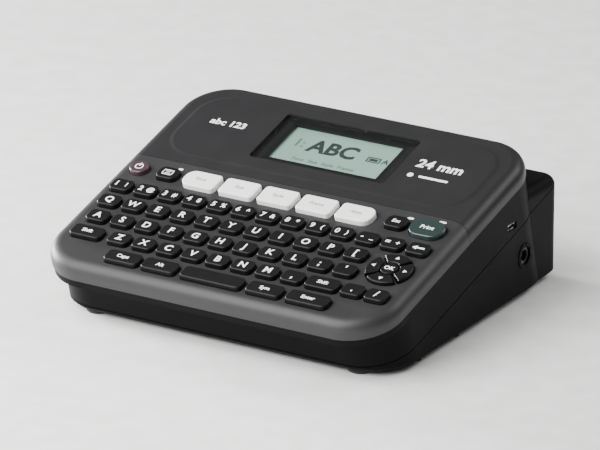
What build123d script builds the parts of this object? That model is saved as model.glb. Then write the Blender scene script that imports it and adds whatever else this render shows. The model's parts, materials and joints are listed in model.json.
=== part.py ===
from build123d import *
import os
from math import acos, atan2, cos, degrees, hypot, radians, sin

# A desktop label maker: a sloping keyboard and display over a tape cassette,
# a thermal print mechanism with a hand cutter, and six AA cells.
# Millimetres. X is to the user's right, Y to the back, Z up, and the feet stand on Z = 0.

# ---------------------------------------------------------------- driving dimensions
body_width = 188.0
body_depth = 178.0
body_height = 72.0
front_height = 33.23
rear_step = 17.0
inner_depth = 178.0

corner_radius = 24.0
rim_radius = 6.0
cap_depth = 9.0
cap_wall = 2.4
panel_gap = 0.25
casing_inset = 0.6
wall = 2.2
seam_depth = 29.5
front_setback = 8.0
front_band = 4.0
deck_depth = 16.0
deck_thickness = 2.0
hump_width = 184.0
hump_drop = 20.0
hump_corner = 8.0
hump_edge = 5.0
floor_bottom = 2.0
floor_thickness = 2.2
bottom_edge = 2.0
seam_reveal = 0.5
seam_inset = 0.5

foot_radius = 6.0
foot_inset_x = 22.0
foot_inset_y = 24.0
screw_radius = 1.3
screw_head_radius = 2.6
screw_head_height = 2.0
screw_clearance = 0.2
boss_radius = 4.0
boss_bite = 1.0

panel_start = 92.3
panel_sweep = 9.0
window_width = 74.0
window_length = 38.0
window_middle = 127.0
window_thickness = 1.5
window_sink = 0.3
glass_width = 60.0
glass_length = 28.0
fit_gap = 0.2

key_pitch = 13.6
row_pitch = 13.1
key_width = 11.1
key_length = 8.5
key_corner = 2.4
key_height = 2.5
key_travel = 1.2
key_gap = 0.35
key_flange = 0.45
key_flange_thickness = 1.2
key_edge = 0.7
bottom_row = 11.5
function_row = 80.0

cell_radius = 7.1
cell_length = 50.0
cell_spare = 0.8
cell_lift = 0.6

cassette_width = 70.0
cassette_length = 48.0
cassette_height = 20.0
cassette_wall = 1.4
gear_module = 0.8
gear_thickness = 5.0
running_gap = 0.05

# ---------------------------------------------------------------- derived frame of the face
# The slope rises from the front rim to the rear rim, and its run depends a little on its own angle,
# so the angle is found by repeating the sum until it settles.
tilt = atan2(body_height - front_height, body_depth)
for _ in range(20):
    rim_run = rim_radius * (1 + cos(tilt) - 2 * sin(tilt))
    slope_run = body_depth - rear_step - rim_run - seam_depth * sin(tilt)
    tilt = atan2(body_height - front_height, slope_run)
front_y = -body_depth / 2
rear_y = body_depth / 2
side_x = body_width / 2 - casing_inset
face_length = (body_depth - rear_step + rim_radius * (cos(tilt) + sin(tilt) - 1)) / cos(tilt)
face_length -= (seam_depth - rim_radius) * sin(tilt) / cos(tilt)
face_y = front_y - rim_radius * (cos(tilt) + sin(tilt) - 1)
face_z = body_height - rim_radius - (face_length - rim_radius) * sin(tilt) + rim_radius * cos(tilt)
face = Plane(origin=(0, face_y, face_z), x_dir=(1, 0, 0), z_dir=(0, -sin(tilt), cos(tilt)))
face_up = Axis(face.origin, face.z_dir)
# The inner pieces are set out from a line at a fixed distance from the back, where the body is tall.
inner_y = rear_y - inner_depth
left_x = -side_x + wall
hump_height = body_height - hump_drop
key_depth = cap_wall + fit_gap
mat_depth = key_depth + key_flange_thickness + key_travel + fit_gap
dome_height = 1.2
mat_thickness = 1.2
board_depth = mat_depth + dome_height + mat_thickness
board_thickness = 1.6


def height_at(y, depth):
    """Height of the plane that lies this deep under the face, at this distance along Y."""
    return face_z + (y - face_y) * sin(tilt) / cos(tilt) - depth / cos(tilt)


def outline(inset, setback=0.0):
    """Rounded outline of the body, seen square to the face."""
    with Locations((0, (face_length + setback) / 2)):
        RectangleRounded(
            body_width - 2 * inset,
            face_length - 2 * inset - setback,
            corner_radius - inset,
        )


def write(builder, name):
    """Label a finished piece and write it under its own name."""
    builder.part.label = name
    export_step(builder.part, f"parts/{name}.step")


os.makedirs("parts", exist_ok=True)

# ---------------------------------------------------------------- keyboard layout
# Each key is (middle across the face, middle up the face, width, length, corner radius).


def key_row(row, first, count):
    """A run of letter keys at the normal pitch."""
    return [
        (first + key_pitch * index, bottom_row + row_pitch * row, key_width, key_length, key_corner)
        for index in range(count)
    ]


def wide_key(row, middle, width):
    """One wider key in a row of the keyboard."""
    return (middle, bottom_row + row_pitch * row, width, key_length, key_corner)


number_layout = key_row(4, -81.6, 13)
upper_layout = key_row(3, -80.4, 11)
home_layout = key_row(2, -78.6, 11)
lower_layout = [wide_key(1, -76.4, 17.0)] + key_row(1, -58.4, 8)
lower_layout += [wide_key(1, 52.9, 17.0), wide_key(1, 69.0, key_width), wide_key(1, 81.6, key_width)]
command_layout = [wide_key(0, -48.3, 18.5), wide_key(0, -27.8, 18.5)]
command_layout += [wide_key(0, 29.4, 18.5), wide_key(0, 52.6, 22.0)]
space_layout = [wide_key(0, 0.9, 33.0)]
power_layout = [(-81.6, function_row, 9.6, 9.6, 4.7)]
preview_layout = [(-65.3, function_row, key_width, 9.0, 3.2)]
escape_layout = [(60.8, function_row, key_width, 9.0, 3.2)]
print_layout = [(77.4, function_row, 18.0, 13.0, 6.2)]
soft_first_x = -46.6
soft_pitch = 21.4
soft_width = 18.8
soft_length = 12.0
soft_corner = 2.0
soft_end_corner = 5.0
soft_count = 5


def soft_key(index):
    """One white key; the outer corners of the first and of the last are rounder."""
    middle = soft_first_x + soft_pitch * index
    outward = {0: -1, soft_count - 1: 1}.get(index, 0)
    if outward == 0:
        return [(middle, function_row, soft_width, soft_length, soft_corner)]
    whole = (middle, function_row, soft_width, soft_length, soft_end_corner)
    inner_middle = middle - outward * soft_end_corner / 2
    inner = (inner_middle, function_row, soft_width - soft_end_corner, soft_length, soft_corner)
    return [whole, inner]


soft_layouts = [soft_key(index) for index in range(soft_count)]

cursor_x = 76.4
cursor_v = bottom_row + 2.6 * row_pitch
ring_outer = 11.4
ring_inner = 5.0
ok_radius = 4.2
cursor_names = ["right", "up", "left", "down"]
cursor_spread = 78.0

rectangular_keys = number_layout + upper_layout + home_layout + lower_layout + command_layout
rectangular_keys += space_layout + power_layout + preview_layout + escape_layout + print_layout
dome_layout = rectangular_keys + [soft_layout[0] for soft_layout in soft_layouts]
for soft_layout in soft_layouts:
    rectangular_keys += soft_layout


def key_shapes(layout, grow=0.0):
    """Outlines of a set of keys, grown all round."""
    for middle_x, middle_v, width, length, corner in layout:
        with Locations((middle_x, middle_v)):
            RectangleRounded(width + 2 * grow, length + 2 * grow, corner + grow)


def cursor_point(radius, angle):
    """A point of the cursor ring on the face."""
    return (cursor_x + radius * cos(angle), cursor_v + radius * sin(angle))


def cursor_shape(index, grow=0.0):
    """One quarter of the cursor ring, grown all round."""
    outer = ring_outer + grow
    inner = ring_inner - grow
    middle = radians(90 * index)
    half = radians(cursor_spread / 2) + grow / ring_inner
    start, end = middle - half, middle + half
    with BuildLine() as quarter:
        ThreePointArc(cursor_point(outer, start), cursor_point(outer, middle), cursor_point(outer, end))
        Line(cursor_point(outer, end), cursor_point(inner, end))
        ThreePointArc(cursor_point(inner, end), cursor_point(inner, middle), cursor_point(inner, start))
        Line(cursor_point(inner, start), cursor_point(outer, start))
    make_face(quarter.line)


# ---------------------------------------------------------------- keyboard and display covers
with BuildPart() as cap:
    with BuildSketch(face):
        outline(0)
    extrude(amount=-cap_depth)
    fillet(cap.faces().sort_by(face_up)[-1].edges(), rim_radius)
    offset(amount=-cap_wall, openings=cap.faces().sort_by(face_up)[0])


def panel_region(grow):
    """The part of the face that the display cover takes, with its edge falling at the right."""
    edge = body_width / 2 + 10
    turn = body_width / 2 - 16
    with BuildLine() as border:
        level = Line((-edge, panel_start - grow), (turn, panel_start - grow))
        fall = TangentArc(level @ 1, (edge, panel_start - panel_sweep - grow), tangent=(1, 0))
        Polyline(fall @ 1, (edge, face_length + 20), (-edge, face_length + 20), level @ 0)
    make_face(border.line)


with BuildPart() as front_cover:
    add(cap.part)
    with BuildSketch(face.offset(1)):
        panel_region(panel_gap / 2)
    extrude(amount=-cap_depth - 2, mode=Mode.SUBTRACT)
    # A ledge under the display cover carries its front edge.
    with BuildSketch(face.offset(-cap_wall - 0.1)):
        with Locations((0, panel_start)):
            Rectangle(body_width - 2 * corner_radius, 6)
    extrude(amount=-1.2)
    with BuildSketch(face.offset(-cap_wall)):
        with Locations((0, panel_start - 2)):
            Rectangle(body_width - 2 * corner_radius, 2)
    extrude(amount=-0.2)
    with BuildSketch(face.offset(1)):
        key_shapes(rectangular_keys, key_gap)
        with Locations((cursor_x, cursor_v)):
            Circle(ok_radius + key_gap)
        for index in range(4):
            cursor_shape(index, key_gap)
    extrude(amount=-cap_wall - 6, mode=Mode.SUBTRACT)
write(front_cover, "front_cover")

with BuildPart() as display_cover:
    add(cap.part)
    with BuildSketch(face.offset(1)):
        panel_region(-panel_gap / 2)
    extrude(amount=-cap_depth - 2, mode=Mode.INTERSECT)
    # The window sits in a sunk seat, over an opening for the display.
    with BuildSketch(face.offset(1)):
        with Locations((0, window_middle)):
            RectangleRounded(window_width + 2 * fit_gap, window_length + 2 * fit_gap, 2.0)
    extrude(amount=-1 - window_sink - window_thickness, mode=Mode.SUBTRACT)
    with BuildSketch(face.offset(1)):
        with Locations((0, window_middle)):
            Rectangle(glass_width + 6, glass_length + 4)
    extrude(amount=-1 - cap_wall, mode=Mode.SUBTRACT)
write(display_cover, "display_cover")

with BuildPart() as display_window:
    with BuildSketch(face.offset(-window_sink)):
        with Locations((0, window_middle)):
            RectangleRounded(window_width, window_length, 1.8)
    extrude(amount=-window_thickness)
write(display_window, "display_window")

# ---------------------------------------------------------------- display
holder_depth = cap_wall + 0.2
panel_depth = holder_depth + 0.6

with BuildPart() as lcd_holder:
    with BuildSketch(face.offset(-holder_depth)):
        with Locations((0, window_middle)):
            Rectangle(glass_width + 10, glass_length + 10)
    extrude(amount=holder_depth - board_depth)
    with BuildSketch(face.offset(-holder_depth)):
        with Locations((0, window_middle)):
            Rectangle(glass_width + 2, glass_length + 2)
    extrude(amount=holder_depth - board_depth + 0.8, mode=Mode.SUBTRACT)
write(lcd_holder, "lcd_holder")

with BuildPart() as lcd_panel:
    with BuildSketch(face.offset(-panel_depth)):
        with Locations((0, window_middle)):
            Rectangle(glass_width + 2 - 2 * fit_gap, glass_length + 2 - 2 * fit_gap)
    extrude(amount=-2.6)
write(lcd_panel, "lcd_panel")

# ---------------------------------------------------------------- main and back casings
foot_x = body_width / 2 - foot_inset_x
screw_offsets = (44.0, 79.0)
screw_x = side_x - wall - boss_radius + boss_bite
screw_spots = [(sign * screw_x, inner_y + offset_y) for sign in (-1, 1) for offset_y in screw_offsets]
screw_seat = 8.0
foot_spots = [
    (sign * foot_x, y) for sign in (-1, 1) for y in (front_y + foot_inset_y, rear_y - foot_inset_y / 2)
]
hump_reach = 60.0


def screw_top(y):
    """Height of a casing screw's tip, inside the boss under the deck."""
    return height_at(y, deck_depth + deck_thickness) - 2.0


# Cells lie across the body, in rows from the front, in pairs end to end.
cell_z = floor_bottom + floor_thickness + cell_lift + cell_radius
cell_pitch = 2 * cell_radius + cell_spare
first_cell_y = inner_y + 25.4 + cell_radius
bay_wall = 1.5
bay_x = (-66.0, 66.0)
bay_y = (first_cell_y - cell_radius - 2.0, first_cell_y + 2 * cell_pitch + cell_radius + 2.0)
bay_top = 16.0
door_gap = 0.3
battery_door_x_hole = (-59.0, 59.0)
battery_door_y_hole = (front_y, bay_y[1] - bay_wall - 1.0)
tongue_y = (inner_y + 33.0, bay_y[1] - bay_wall - 3.0)
tongue_reach = (battery_door_x_hole[1] - 4.6, battery_door_x_hole[1] + 2.4)
tongue_z = (floor_bottom + floor_thickness + 0.3, floor_bottom + floor_thickness + 1.1)

# The cassette lies behind the cells, under the display, with its door below it.
cassette_left = left_x + 23.2
cassette_right = cassette_left + cassette_width
cassette_front = inner_y + 98.0
cassette_z = 6.0
hinge_y = inner_y + 90.0
hinge_z = 4.6
knuckle_radius = 2.2
pin_radius = 1.0
cassette_hole_x = (left_x + 9.2, cassette_right + 6.0)
cassette_hole_y = (hinge_y - 3.6, inner_y + 156.0)
door_x = (cassette_hole_x[0] + door_gap, cassette_hole_x[1] - door_gap)
ear_reach = 14.0
hinge_middle = sum(cassette_hole_x) / 2
hinge_ears = [
    (cassette_hole_x[0] - 3, cassette_hole_x[0] + ear_reach),
    (hinge_middle - 3, hinge_middle + 3),
    (cassette_hole_x[1] - ear_reach, cassette_hole_x[1] + 3),
]
knuckle_gap = 0.4
hinge_knuckles = [
    (left_ear[1] + knuckle_gap, right_ear[0] - knuckle_gap)
    for left_ear, right_ear in zip(hinge_ears, hinge_ears[1:])
]

# The label leaves on the left, past the print head and the cutter.
tape_y = inner_y + 142.0
exit_y = (tape_y - 2.5, tape_y + 2.5)
tape_bottom = cassette_z + 1.0
tape_height = cassette_height - 2.0
exit_z = (tape_bottom - 1.5, tape_bottom + tape_height + 2.0)
lever_hole_y = (inner_y + 108.0, inner_y + 133.0)
lever_hole_z = (9.0, exit_z[1])

# Sockets on the right-hand side.
usb_y = inner_y + 128.0
usb_z = height_at(usb_y, 24.5)
usb_size = (8.0, 3.2)
usb_hole_x = (side_x - 2 * wall, side_x + wall)
usb_hole_y = (usb_y - usb_size[0] / 2 - fit_gap, usb_y + usb_size[0] / 2 + fit_gap)
usb_hole_z = (usb_z - usb_size[1] / 2 - fit_gap, usb_z + usb_size[1] / 2 + fit_gap)
jack_y = inner_y + 141.0
jack_z = 22.0
jack_barrel_radius = 4.2


def shell_core(depth_from, depth_to, inset, setback, mode=Mode.ADD):
    """A block with the body's outline between two depths under the face."""
    with BuildSketch(face.offset(-depth_from)) as core:
        outline(inset, setback)
    extrude(core.sketch, amount=depth_from - depth_to, mode=mode)


def slab(depth, thickness, mode):
    """Everything from this depth under the face downwards, or upwards if the thickness is positive."""
    with BuildSketch(face.offset(-depth)) as sheet:
        with Locations((0, face_length / 2)):
            Rectangle(3 * body_width, 3 * face_length)
    extrude(sheet.sketch, amount=thickness, mode=mode)


def hump_block(inset, bottom, top):
    """The rear block, which stands straight up behind the slope."""
    with BuildSketch(Plane.XY.offset(bottom)) as block:
        with Locations((0, rear_y - inset - hump_reach / 2)):
            RectangleRounded(hump_width - 2 * inset, hump_reach, hump_corner - inset)
    extrude(block.sketch, amount=top - bottom)


def upright(x, y, radius, bottom, top, mode=Mode.ADD):
    """A round bar or hole that stands along Z."""
    with BuildSketch(Plane.XY.offset(bottom)) as disc:
        with Locations((x, y)):
            Circle(radius)
    extrude(disc.sketch, amount=top - bottom, mode=mode)


def block(x_range, y_range, z_range, mode=Mode.ADD):
    """A square-edged block between two corners."""
    with BuildSketch(Plane.XY.offset(z_range[0])) as base:
        with Locations(((x_range[0] + x_range[1]) / 2, (y_range[0] + y_range[1]) / 2)):
            Rectangle(x_range[1] - x_range[0], y_range[1] - y_range[0])
    extrude(base.sketch, amount=z_range[1] - z_range[0], mode=mode)


lip_inset = cap_wall + fit_gap
lip_height = 2.0
lip_thickness = 1.2
floor_top = floor_bottom + floor_thickness

with BuildPart() as hump:
    hump_block(0, floor_bottom, hump_height)
    fillet(hump.faces().sort_by(Axis.Z)[-1].edges(), hump_edge)

with BuildPart() as hump_hollow:
    hump_block(wall, floor_top, hump_height - wall)

with BuildPart() as upper_hollow:
    add(hump_hollow.part)
    slab(deck_depth + deck_thickness, -body_height, Mode.INTERSECT)

with BuildPart() as main_casing:
    add(hump.part)
    shell_core(cap_depth, cap_depth + front_band, casing_inset, 0)
    shell_core(cap_depth + front_band, seam_depth, casing_inset, front_setback)
    # Everything under the sloping seam belongs to the back cover.
    slab(seam_depth, -2 * body_height, Mode.SUBTRACT)
    hollow = casing_inset + wall
    shell_core(cap_depth, cap_depth + front_band - wall, hollow, 0, Mode.SUBTRACT)
    shell_core(cap_depth, deck_depth, hollow, front_setback, Mode.SUBTRACT)
    shell_core(deck_depth + deck_thickness, 2 * seam_depth, hollow, front_setback, Mode.SUBTRACT)
    add(upper_hollow.part, mode=Mode.SUBTRACT)
    # A lip inside the rim locates the covers of the face.
    with BuildSketch(face.offset(-cap_depth - 0.5)):
        outline(lip_inset)
        with Locations((0, face_length / 2)):
            RectangleRounded(
                body_width - 2 * lip_inset - 2 * lip_thickness,
                face_length - 2 * lip_inset - 2 * lip_thickness,
                corner_radius - lip_inset - lip_thickness,
                mode=Mode.SUBTRACT,
            )
    extrude(amount=lip_height + 0.5)
    for x, y in screw_spots:
        upright(x, y, boss_radius, height_at(y, seam_depth) - 4, height_at(y, deck_depth + deck_thickness))
    slab(seam_depth, -body_height, Mode.SUBTRACT)
    for x, y in screw_spots:
        upright(x, y, screw_radius, 0, screw_top(y), Mode.SUBTRACT)
    block(usb_hole_x, usb_hole_y, usb_hole_z, Mode.SUBTRACT)
write(main_casing, "main_casing")

# ---------------------------------------------------------------- back cover and its doors
# Its top edge stands a little inwards all round, so that a fine groove marks the seam.
with BuildPart() as seam_band:
    hump_block(seam_inset, floor_bottom, hump_height)
    shell_core(0, 3 * seam_depth, casing_inset + seam_inset, front_setback)
    slab(seam_depth, 2 * body_height, Mode.SUBTRACT)
    slab(seam_depth + 2 * seam_reveal, -2 * body_height, Mode.SUBTRACT)

with BuildPart() as lower_block:
    hump_block(0, floor_bottom, hump_height)
    shell_core(seam_depth, 3 * seam_depth, casing_inset, front_setback)
    slab(seam_depth + seam_reveal, 2 * body_height, Mode.SUBTRACT)
    add(seam_band.part)
    block((-body_width, body_width), (-body_depth, body_depth), (-body_height, floor_bottom), Mode.SUBTRACT)
    chamfer(lower_block.faces().sort_by(Axis.Z)[0].edges(), bottom_edge)

with BuildPart() as lower_hollow:
    add(hump_hollow.part)
    shell_core(0, 4 * seam_depth, casing_inset + wall, front_setback)
    block((-body_width, body_width), (-body_depth, body_depth), (-body_height, floor_top), Mode.SUBTRACT)

with BuildPart() as back_cover:
    add(lower_block.part)
    add(lower_hollow.part, mode=Mode.SUBTRACT)
    for x, y in screw_spots:
        upright(x, y, boss_radius, floor_bottom, height_at(y, seam_depth) + 4)
    slab(seam_depth, body_height, Mode.SUBTRACT)
    for x, y in screw_spots:
        upright(x, y, screw_head_radius + screw_clearance, 0, screw_seat, Mode.SUBTRACT)
        upright(x, y, screw_radius + screw_clearance, 0, body_height, Mode.SUBTRACT)
    # Walls that part the cells from the rest, notches for the door's tongues, and the doors' openings.
    block(bay_x, (bay_y[0], bay_y[0] + bay_wall), (floor_top, bay_top))
    block(bay_x, (bay_y[1] - bay_wall, bay_y[1]), (floor_top, bay_top))
    block((bay_x[0], bay_x[0] + bay_wall), bay_y, (floor_top, bay_top))
    block((bay_x[1] - bay_wall, bay_x[1]), bay_y, (floor_top, bay_top))
    for side in (-1, 1):
        notch_x = sorted((side * tongue_reach[0], side * tongue_reach[1]))
        notch_y = (bay_y[0] - 1.0, bay_y[0] + bay_wall + 1.0)
        block(notch_x, notch_y, (floor_top, tongue_z[1] + door_gap), Mode.SUBTRACT)
    block(battery_door_x_hole, battery_door_y_hole, (0, floor_top), Mode.SUBTRACT)
    block(cassette_hole_x, cassette_hole_y, (0, floor_top), Mode.SUBTRACT)
    for ear_x in hinge_ears:
        block(ear_x, (hinge_y - 5.0, hinge_y), (floor_bottom + 0.6, hinge_z + knuckle_radius))
        with BuildSketch(Plane.YZ.offset(ear_x[0])) as ear:
            with Locations((hinge_y, hinge_z)):
                Circle(knuckle_radius)
        extrude(ear.sketch, amount=ear_x[1] - ear_x[0])
    with BuildSketch(Plane.YZ.offset(cassette_hole_x[0] - 3)) as pin_bore:
        with Locations((hinge_y, hinge_z)):
            Circle(pin_radius)
    extrude(pin_bore.sketch, amount=cassette_hole_x[1] - cassette_hole_x[0] + 6, mode=Mode.SUBTRACT)
    block((-body_width, left_x + 3), exit_y, exit_z, Mode.SUBTRACT)
    block((-body_width, left_x + 3), lever_hole_y, lever_hole_z, Mode.SUBTRACT)
    with BuildSketch(Plane.YZ.offset(side_x - 2 * wall)) as jack_hole:
        with Locations((jack_y, jack_z)):
            Circle(jack_barrel_radius + fit_gap)
    extrude(jack_hole.sketch, amount=3 * wall, mode=Mode.SUBTRACT)
write(back_cover, "back_cover")

with BuildPart() as battery_cover:
    block(
        (battery_door_x_hole[0] + door_gap, battery_door_x_hole[1] - door_gap),
        (battery_door_y_hole[0], battery_door_y_hole[1] - door_gap),
        (floor_bottom, floor_top),
    )
    add(lower_block.part, mode=Mode.INTERSECT)
    # Side tongues run on top of the floor and hold the door up.
    for side in (-1, 1):
        tongue_x = sorted((side * (tongue_reach[0] + door_gap), side * (tongue_reach[1] - door_gap)))
        block(tongue_x, tongue_y, tongue_z)
        root_x = sorted((side * (tongue_reach[0] + door_gap), side * (battery_door_x_hole[1] - door_gap)))
        block(root_x, tongue_y, (floor_top, tongue_z[0]))
    for rib in range(6):
        rib_y = front_y + 22.0 + 2.6 * rib
        block((-14.0, 14.0), (rib_y, rib_y + 1.2), (floor_bottom, floor_bottom + 0.8), Mode.SUBTRACT)
write(battery_cover, "battery_cover")

with BuildPart() as cassette_cover:
    block(door_x, (hinge_y + knuckle_radius + 0.3, cassette_hole_y[1] - door_gap), (floor_bottom, floor_top))
    for knuckle_x in hinge_knuckles:
        with BuildSketch(Plane.YZ.offset(knuckle_x[0])) as knuckle:
            with Locations((hinge_y, hinge_z)):
                Circle(knuckle_radius)
            with Locations((hinge_y + knuckle_radius, hinge_z - 0.5)):
                Rectangle(2 * knuckle_radius, 2 * knuckle_radius - 1.0)
            with Locations((hinge_y, hinge_z)):
                Circle(pin_radius + running_gap, mode=Mode.SUBTRACT)
        extrude(knuckle.sketch, amount=knuckle_x[1] - knuckle_x[0])
    # A finger scoop at the free edge.
    with BuildSketch(Plane.XY.offset(floor_bottom)):
        with Locations(((door_x[0] + door_x[1]) / 2, cassette_hole_y[1] - door_gap - 5.0)):
            SlotOverall(24.0, 6.0)
    extrude(amount=0.9, mode=Mode.SUBTRACT)
write(cassette_cover, "cassette_cover")

with BuildPart() as hinge_pin:
    with BuildSketch(Plane.YZ.offset(cassette_hole_x[0] - 2.8)):
        with Locations((hinge_y, hinge_z)):
            Circle(pin_radius)
    extrude(amount=cassette_hole_x[1] - cassette_hole_x[0] + 5.6)
write(hinge_pin, "hinge_pin")

with BuildPart() as rubber_feet:
    for x, y in foot_spots:
        upright(x, y, foot_radius, 0, floor_bottom)
    chamfer(rubber_feet.faces().filter_by(Axis.Z).group_by(Axis.Z)[0].edges(), 0.5)
write(rubber_feet, "rubber_feet")

with BuildPart() as casing_screws:
    for x, y in screw_spots:
        upright(x, y, screw_head_radius, screw_seat - screw_head_height, screw_seat)
        upright(x, y, screw_radius, screw_seat, screw_top(y))
        upright(x, y, 1.0, screw_seat - screw_head_height, screw_seat - 1.0, Mode.SUBTRACT)
write(casing_screws, "casing_screws")

# ---------------------------------------------------------------- keys


def press_key(layout, height=key_height):
    """Caps of a set of keys, each with a flange that holds it under the face."""
    with BuildSketch(face.offset(-key_depth)) as caps:
        key_shapes(layout)
    extrude(caps.sketch, amount=key_depth + height)
    with BuildSketch(face.offset(-key_depth)) as flanges:
        key_shapes(layout, key_gap + key_flange)
    extrude(flanges.sketch, amount=-key_flange_thickness)


def crown(builder, radius=key_edge):
    """Round the top edges of the keys."""
    tops = builder.faces().group_by(face_up)[-1]
    fillet(tops.edges(), radius)


key_groups = {
    "number_keys": number_layout,
    "upper_letter_keys": upper_layout,
    "home_letter_keys": home_layout,
    "lower_letter_keys": lower_layout,
    "command_keys": command_layout,
    "space_key": space_layout,
    "power_key": power_layout,
    "preview_key": preview_layout,
    "escape_key": escape_layout,
    "print_key": print_layout,
}
for index, soft_layout in enumerate(soft_layouts):
    key_groups[f"function_key_{index + 1}"] = soft_layout

for name, layout in key_groups.items():
    with BuildPart() as keys:
        press_key(layout)
        crown(keys)
    write(keys, name)

for index, name in enumerate(cursor_names):
    with BuildPart() as cursor_key:
        with BuildSketch(face.offset(-key_depth)):
            cursor_shape(index)
        extrude(amount=key_depth + key_height - 0.5)
        with BuildSketch(face.offset(-key_depth)):
            cursor_shape(index, key_gap)
        extrude(amount=-key_flange_thickness)
        chamfer(cursor_key.faces().group_by(face_up)[-1].edges(), 0.4)
    write(cursor_key, f"cursor_{name}_key")

with BuildPart() as ok_key:
    with BuildSketch(face.offset(-key_depth)):
        with Locations((cursor_x, cursor_v)):
            Circle(ok_radius)
    extrude(amount=key_depth + key_height - 0.5)
    crown(ok_key, 0.5)
write(ok_key, "ok_key")

# ---------------------------------------------------------------- key mat and main board
mat_x = body_width / 2 - 5.0
mat_v = (5.5, function_row + 9.0)

with BuildPart() as key_mat:
    with BuildSketch(face.offset(-mat_depth - dome_height)):
        with Locations((0, (mat_v[0] + mat_v[1]) / 2)):
            RectangleRounded(2 * mat_x, mat_v[1] - mat_v[0], corner_radius - 5.0)
    extrude(amount=-mat_thickness)
    with BuildSketch(face.offset(-mat_depth - dome_height)):
        for key_place in dome_layout:
            with Locations(key_place[:2]):
                Circle(3.0)
        for index in range(4):
            with Locations(cursor_point((ring_outer + ring_inner) / 2, radians(90 * index))):
                Circle(2.2)
        with Locations((cursor_x, cursor_v)):
            Circle(2.2)
    extrude(amount=dome_height, taper=20)
write(key_mat, "key_mat")

with BuildPart() as main_board:
    with BuildSketch(face.offset(-board_depth)):
        with Locations((0, (mat_v[0] + window_middle + 24.0) / 2)):
            RectangleRounded(2 * mat_x, window_middle + 24.0 - mat_v[0], 18.0)
    extrude(amount=-board_thickness)
    with BuildSketch(face.offset(-board_depth - board_thickness)):
        with Locations((-20.0, 96.0)):
            Rectangle(14, 14)
        with Locations((10.0, 98.0)):
            Rectangle(10, 8)
        with Locations((40.0, 60.0)):
            Rectangle(18, 7)
    extrude(amount=-1.6)
    # Short studs stand the board on the deck.
    with BuildSketch(face.offset(-board_depth - board_thickness)):
        with Locations((-70.0, 30.0), (70.0, 30.0), (-70.0, 120.0), (70.0, 120.0)):
            Circle(3.0)
    extrude(amount=board_depth + board_thickness - deck_depth)
write(main_board, "main_board")

# ---------------------------------------------------------------- sockets
with BuildPart() as usb_socket:
    block((side_x - 10.0, side_x - wall - 0.2), (usb_y - 6, usb_y + 6), (usb_z - 4, usb_z + 4))
    block((side_x - 4, side_x - 0.8), (usb_y - 4, usb_y + 4), (usb_z - 1.6, usb_z + 1.6))
    block((side_x - 8, side_x), (usb_y - 3.5, usb_y + 3.5), (usb_z - 1.1, usb_z + 1.1), Mode.SUBTRACT)
    block((side_x - 8, side_x - 2), (usb_y - 2.8, usb_y + 2.8), (usb_z - 0.3, usb_z + 0.3))
write(usb_socket, "usb_socket")

with BuildPart() as power_socket:
    block((side_x - 14.0, side_x - wall - 1.0), (jack_y - 5, jack_y + 5), (jack_z - 5.5, jack_z + 5.5))
    block((side_x - 13.0, side_x - 9.0), (jack_y - 1, jack_y + 1), (floor_top, jack_z - 5.5))
    with BuildSketch(Plane.YZ.offset(side_x - 4)):
        with Locations((jack_y, jack_z)):
            Circle(jack_barrel_radius)
    extrude(amount=3.4)
    with BuildSketch(Plane.YZ.offset(side_x - 11)):
        with Locations((jack_y, jack_z)):
            Circle(2.8)
            Circle(0.85, mode=Mode.SUBTRACT)
    extrude(amount=12, mode=Mode.SUBTRACT)
    with BuildSketch(Plane.YZ.offset(side_x - 2.0)):
        with Locations((jack_y, jack_z)):
            Circle(1.2)
    extrude(amount=3, mode=Mode.SUBTRACT)
write(power_socket, "power_socket")

# ---------------------------------------------------------------- cells and their contacts
cell_end = 0.4
cell_rows = [first_cell_y + cell_pitch * row for row in range(3)]

with BuildPart() as batteries:
    for row, y in enumerate(cell_rows):
        facing = 1 if row % 2 == 0 else -1
        for half in (-1, 1):
            middle = half * (cell_length / 2 + cell_end)
            can_end = 1.2
            can_from = middle - facing * can_end / 2 - (cell_length - can_end) / 2
            with BuildSketch(Plane.YZ.offset(can_from)) as can:
                with Locations((y, cell_z)):
                    Circle(cell_radius)
            extrude(can.sketch, amount=cell_length - can_end)
            nub_from = middle + facing * (cell_length / 2 - can_end)
            with BuildSketch(Plane.YZ.offset(nub_from)) as nub:
                with Locations((y, cell_z)):
                    Circle(2.7)
            extrude(nub.sketch, amount=facing * can_end)
write(batteries, "batteries")

contact_x = cell_length + 2 * cell_end

with BuildPart() as battery_contacts:
    for side in (-1, 1):
        for y in cell_rows:
            plate_x = sorted((side * (contact_x + 12.0), side * (contact_x + 12.6)))
            block(plate_x, (y - 6, y + 6), (cell_z - 6, cell_z + 3.8))
            with BuildSketch(Plane.YZ.offset(side * contact_x)) as spring:
                with Locations((y, cell_z)):
                    Circle(2.4)
            extrude(spring.sketch, amount=side * 12.0)
write(battery_contacts, "battery_contacts")

# ---------------------------------------------------------------- mechanism frame and gears
plate_bottom = cassette_z + cassette_height + 2.0
plate_thickness = 1.5
gear_bottom = plate_bottom + plate_thickness + 0.8
gear_top = gear_bottom + gear_thickness
axle_radius = 1.5
post_radius = 1.5
motor_radius = 10.0
motor_height = 18.0

idler_teeth = 36
second_teeth = 32
winder_teeth = 20
third_teeth = 34
platen_teeth = 16
pinion_teeth = 12
gear_line_y = inner_y + 110.0
winder_x = left_x + 37.2


def pitch_radius(teeth):
    """Pitch radius of a gear with this many teeth."""
    return gear_module * teeth / 2


def spacing(teeth, mate_teeth):
    """Distance between the shafts of two meshed gears."""
    return pitch_radius(teeth) + pitch_radius(mate_teeth)


def mesh_phase(phase, teeth, mate_teeth, direction):
    """Angle of one tooth of a gear that meshes with another, which lies in this direction from it."""
    share = ((phase - direction) * teeth / 360) % 1.0
    return direction + 180 + (0.5 - share) * 360 / mate_teeth


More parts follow.
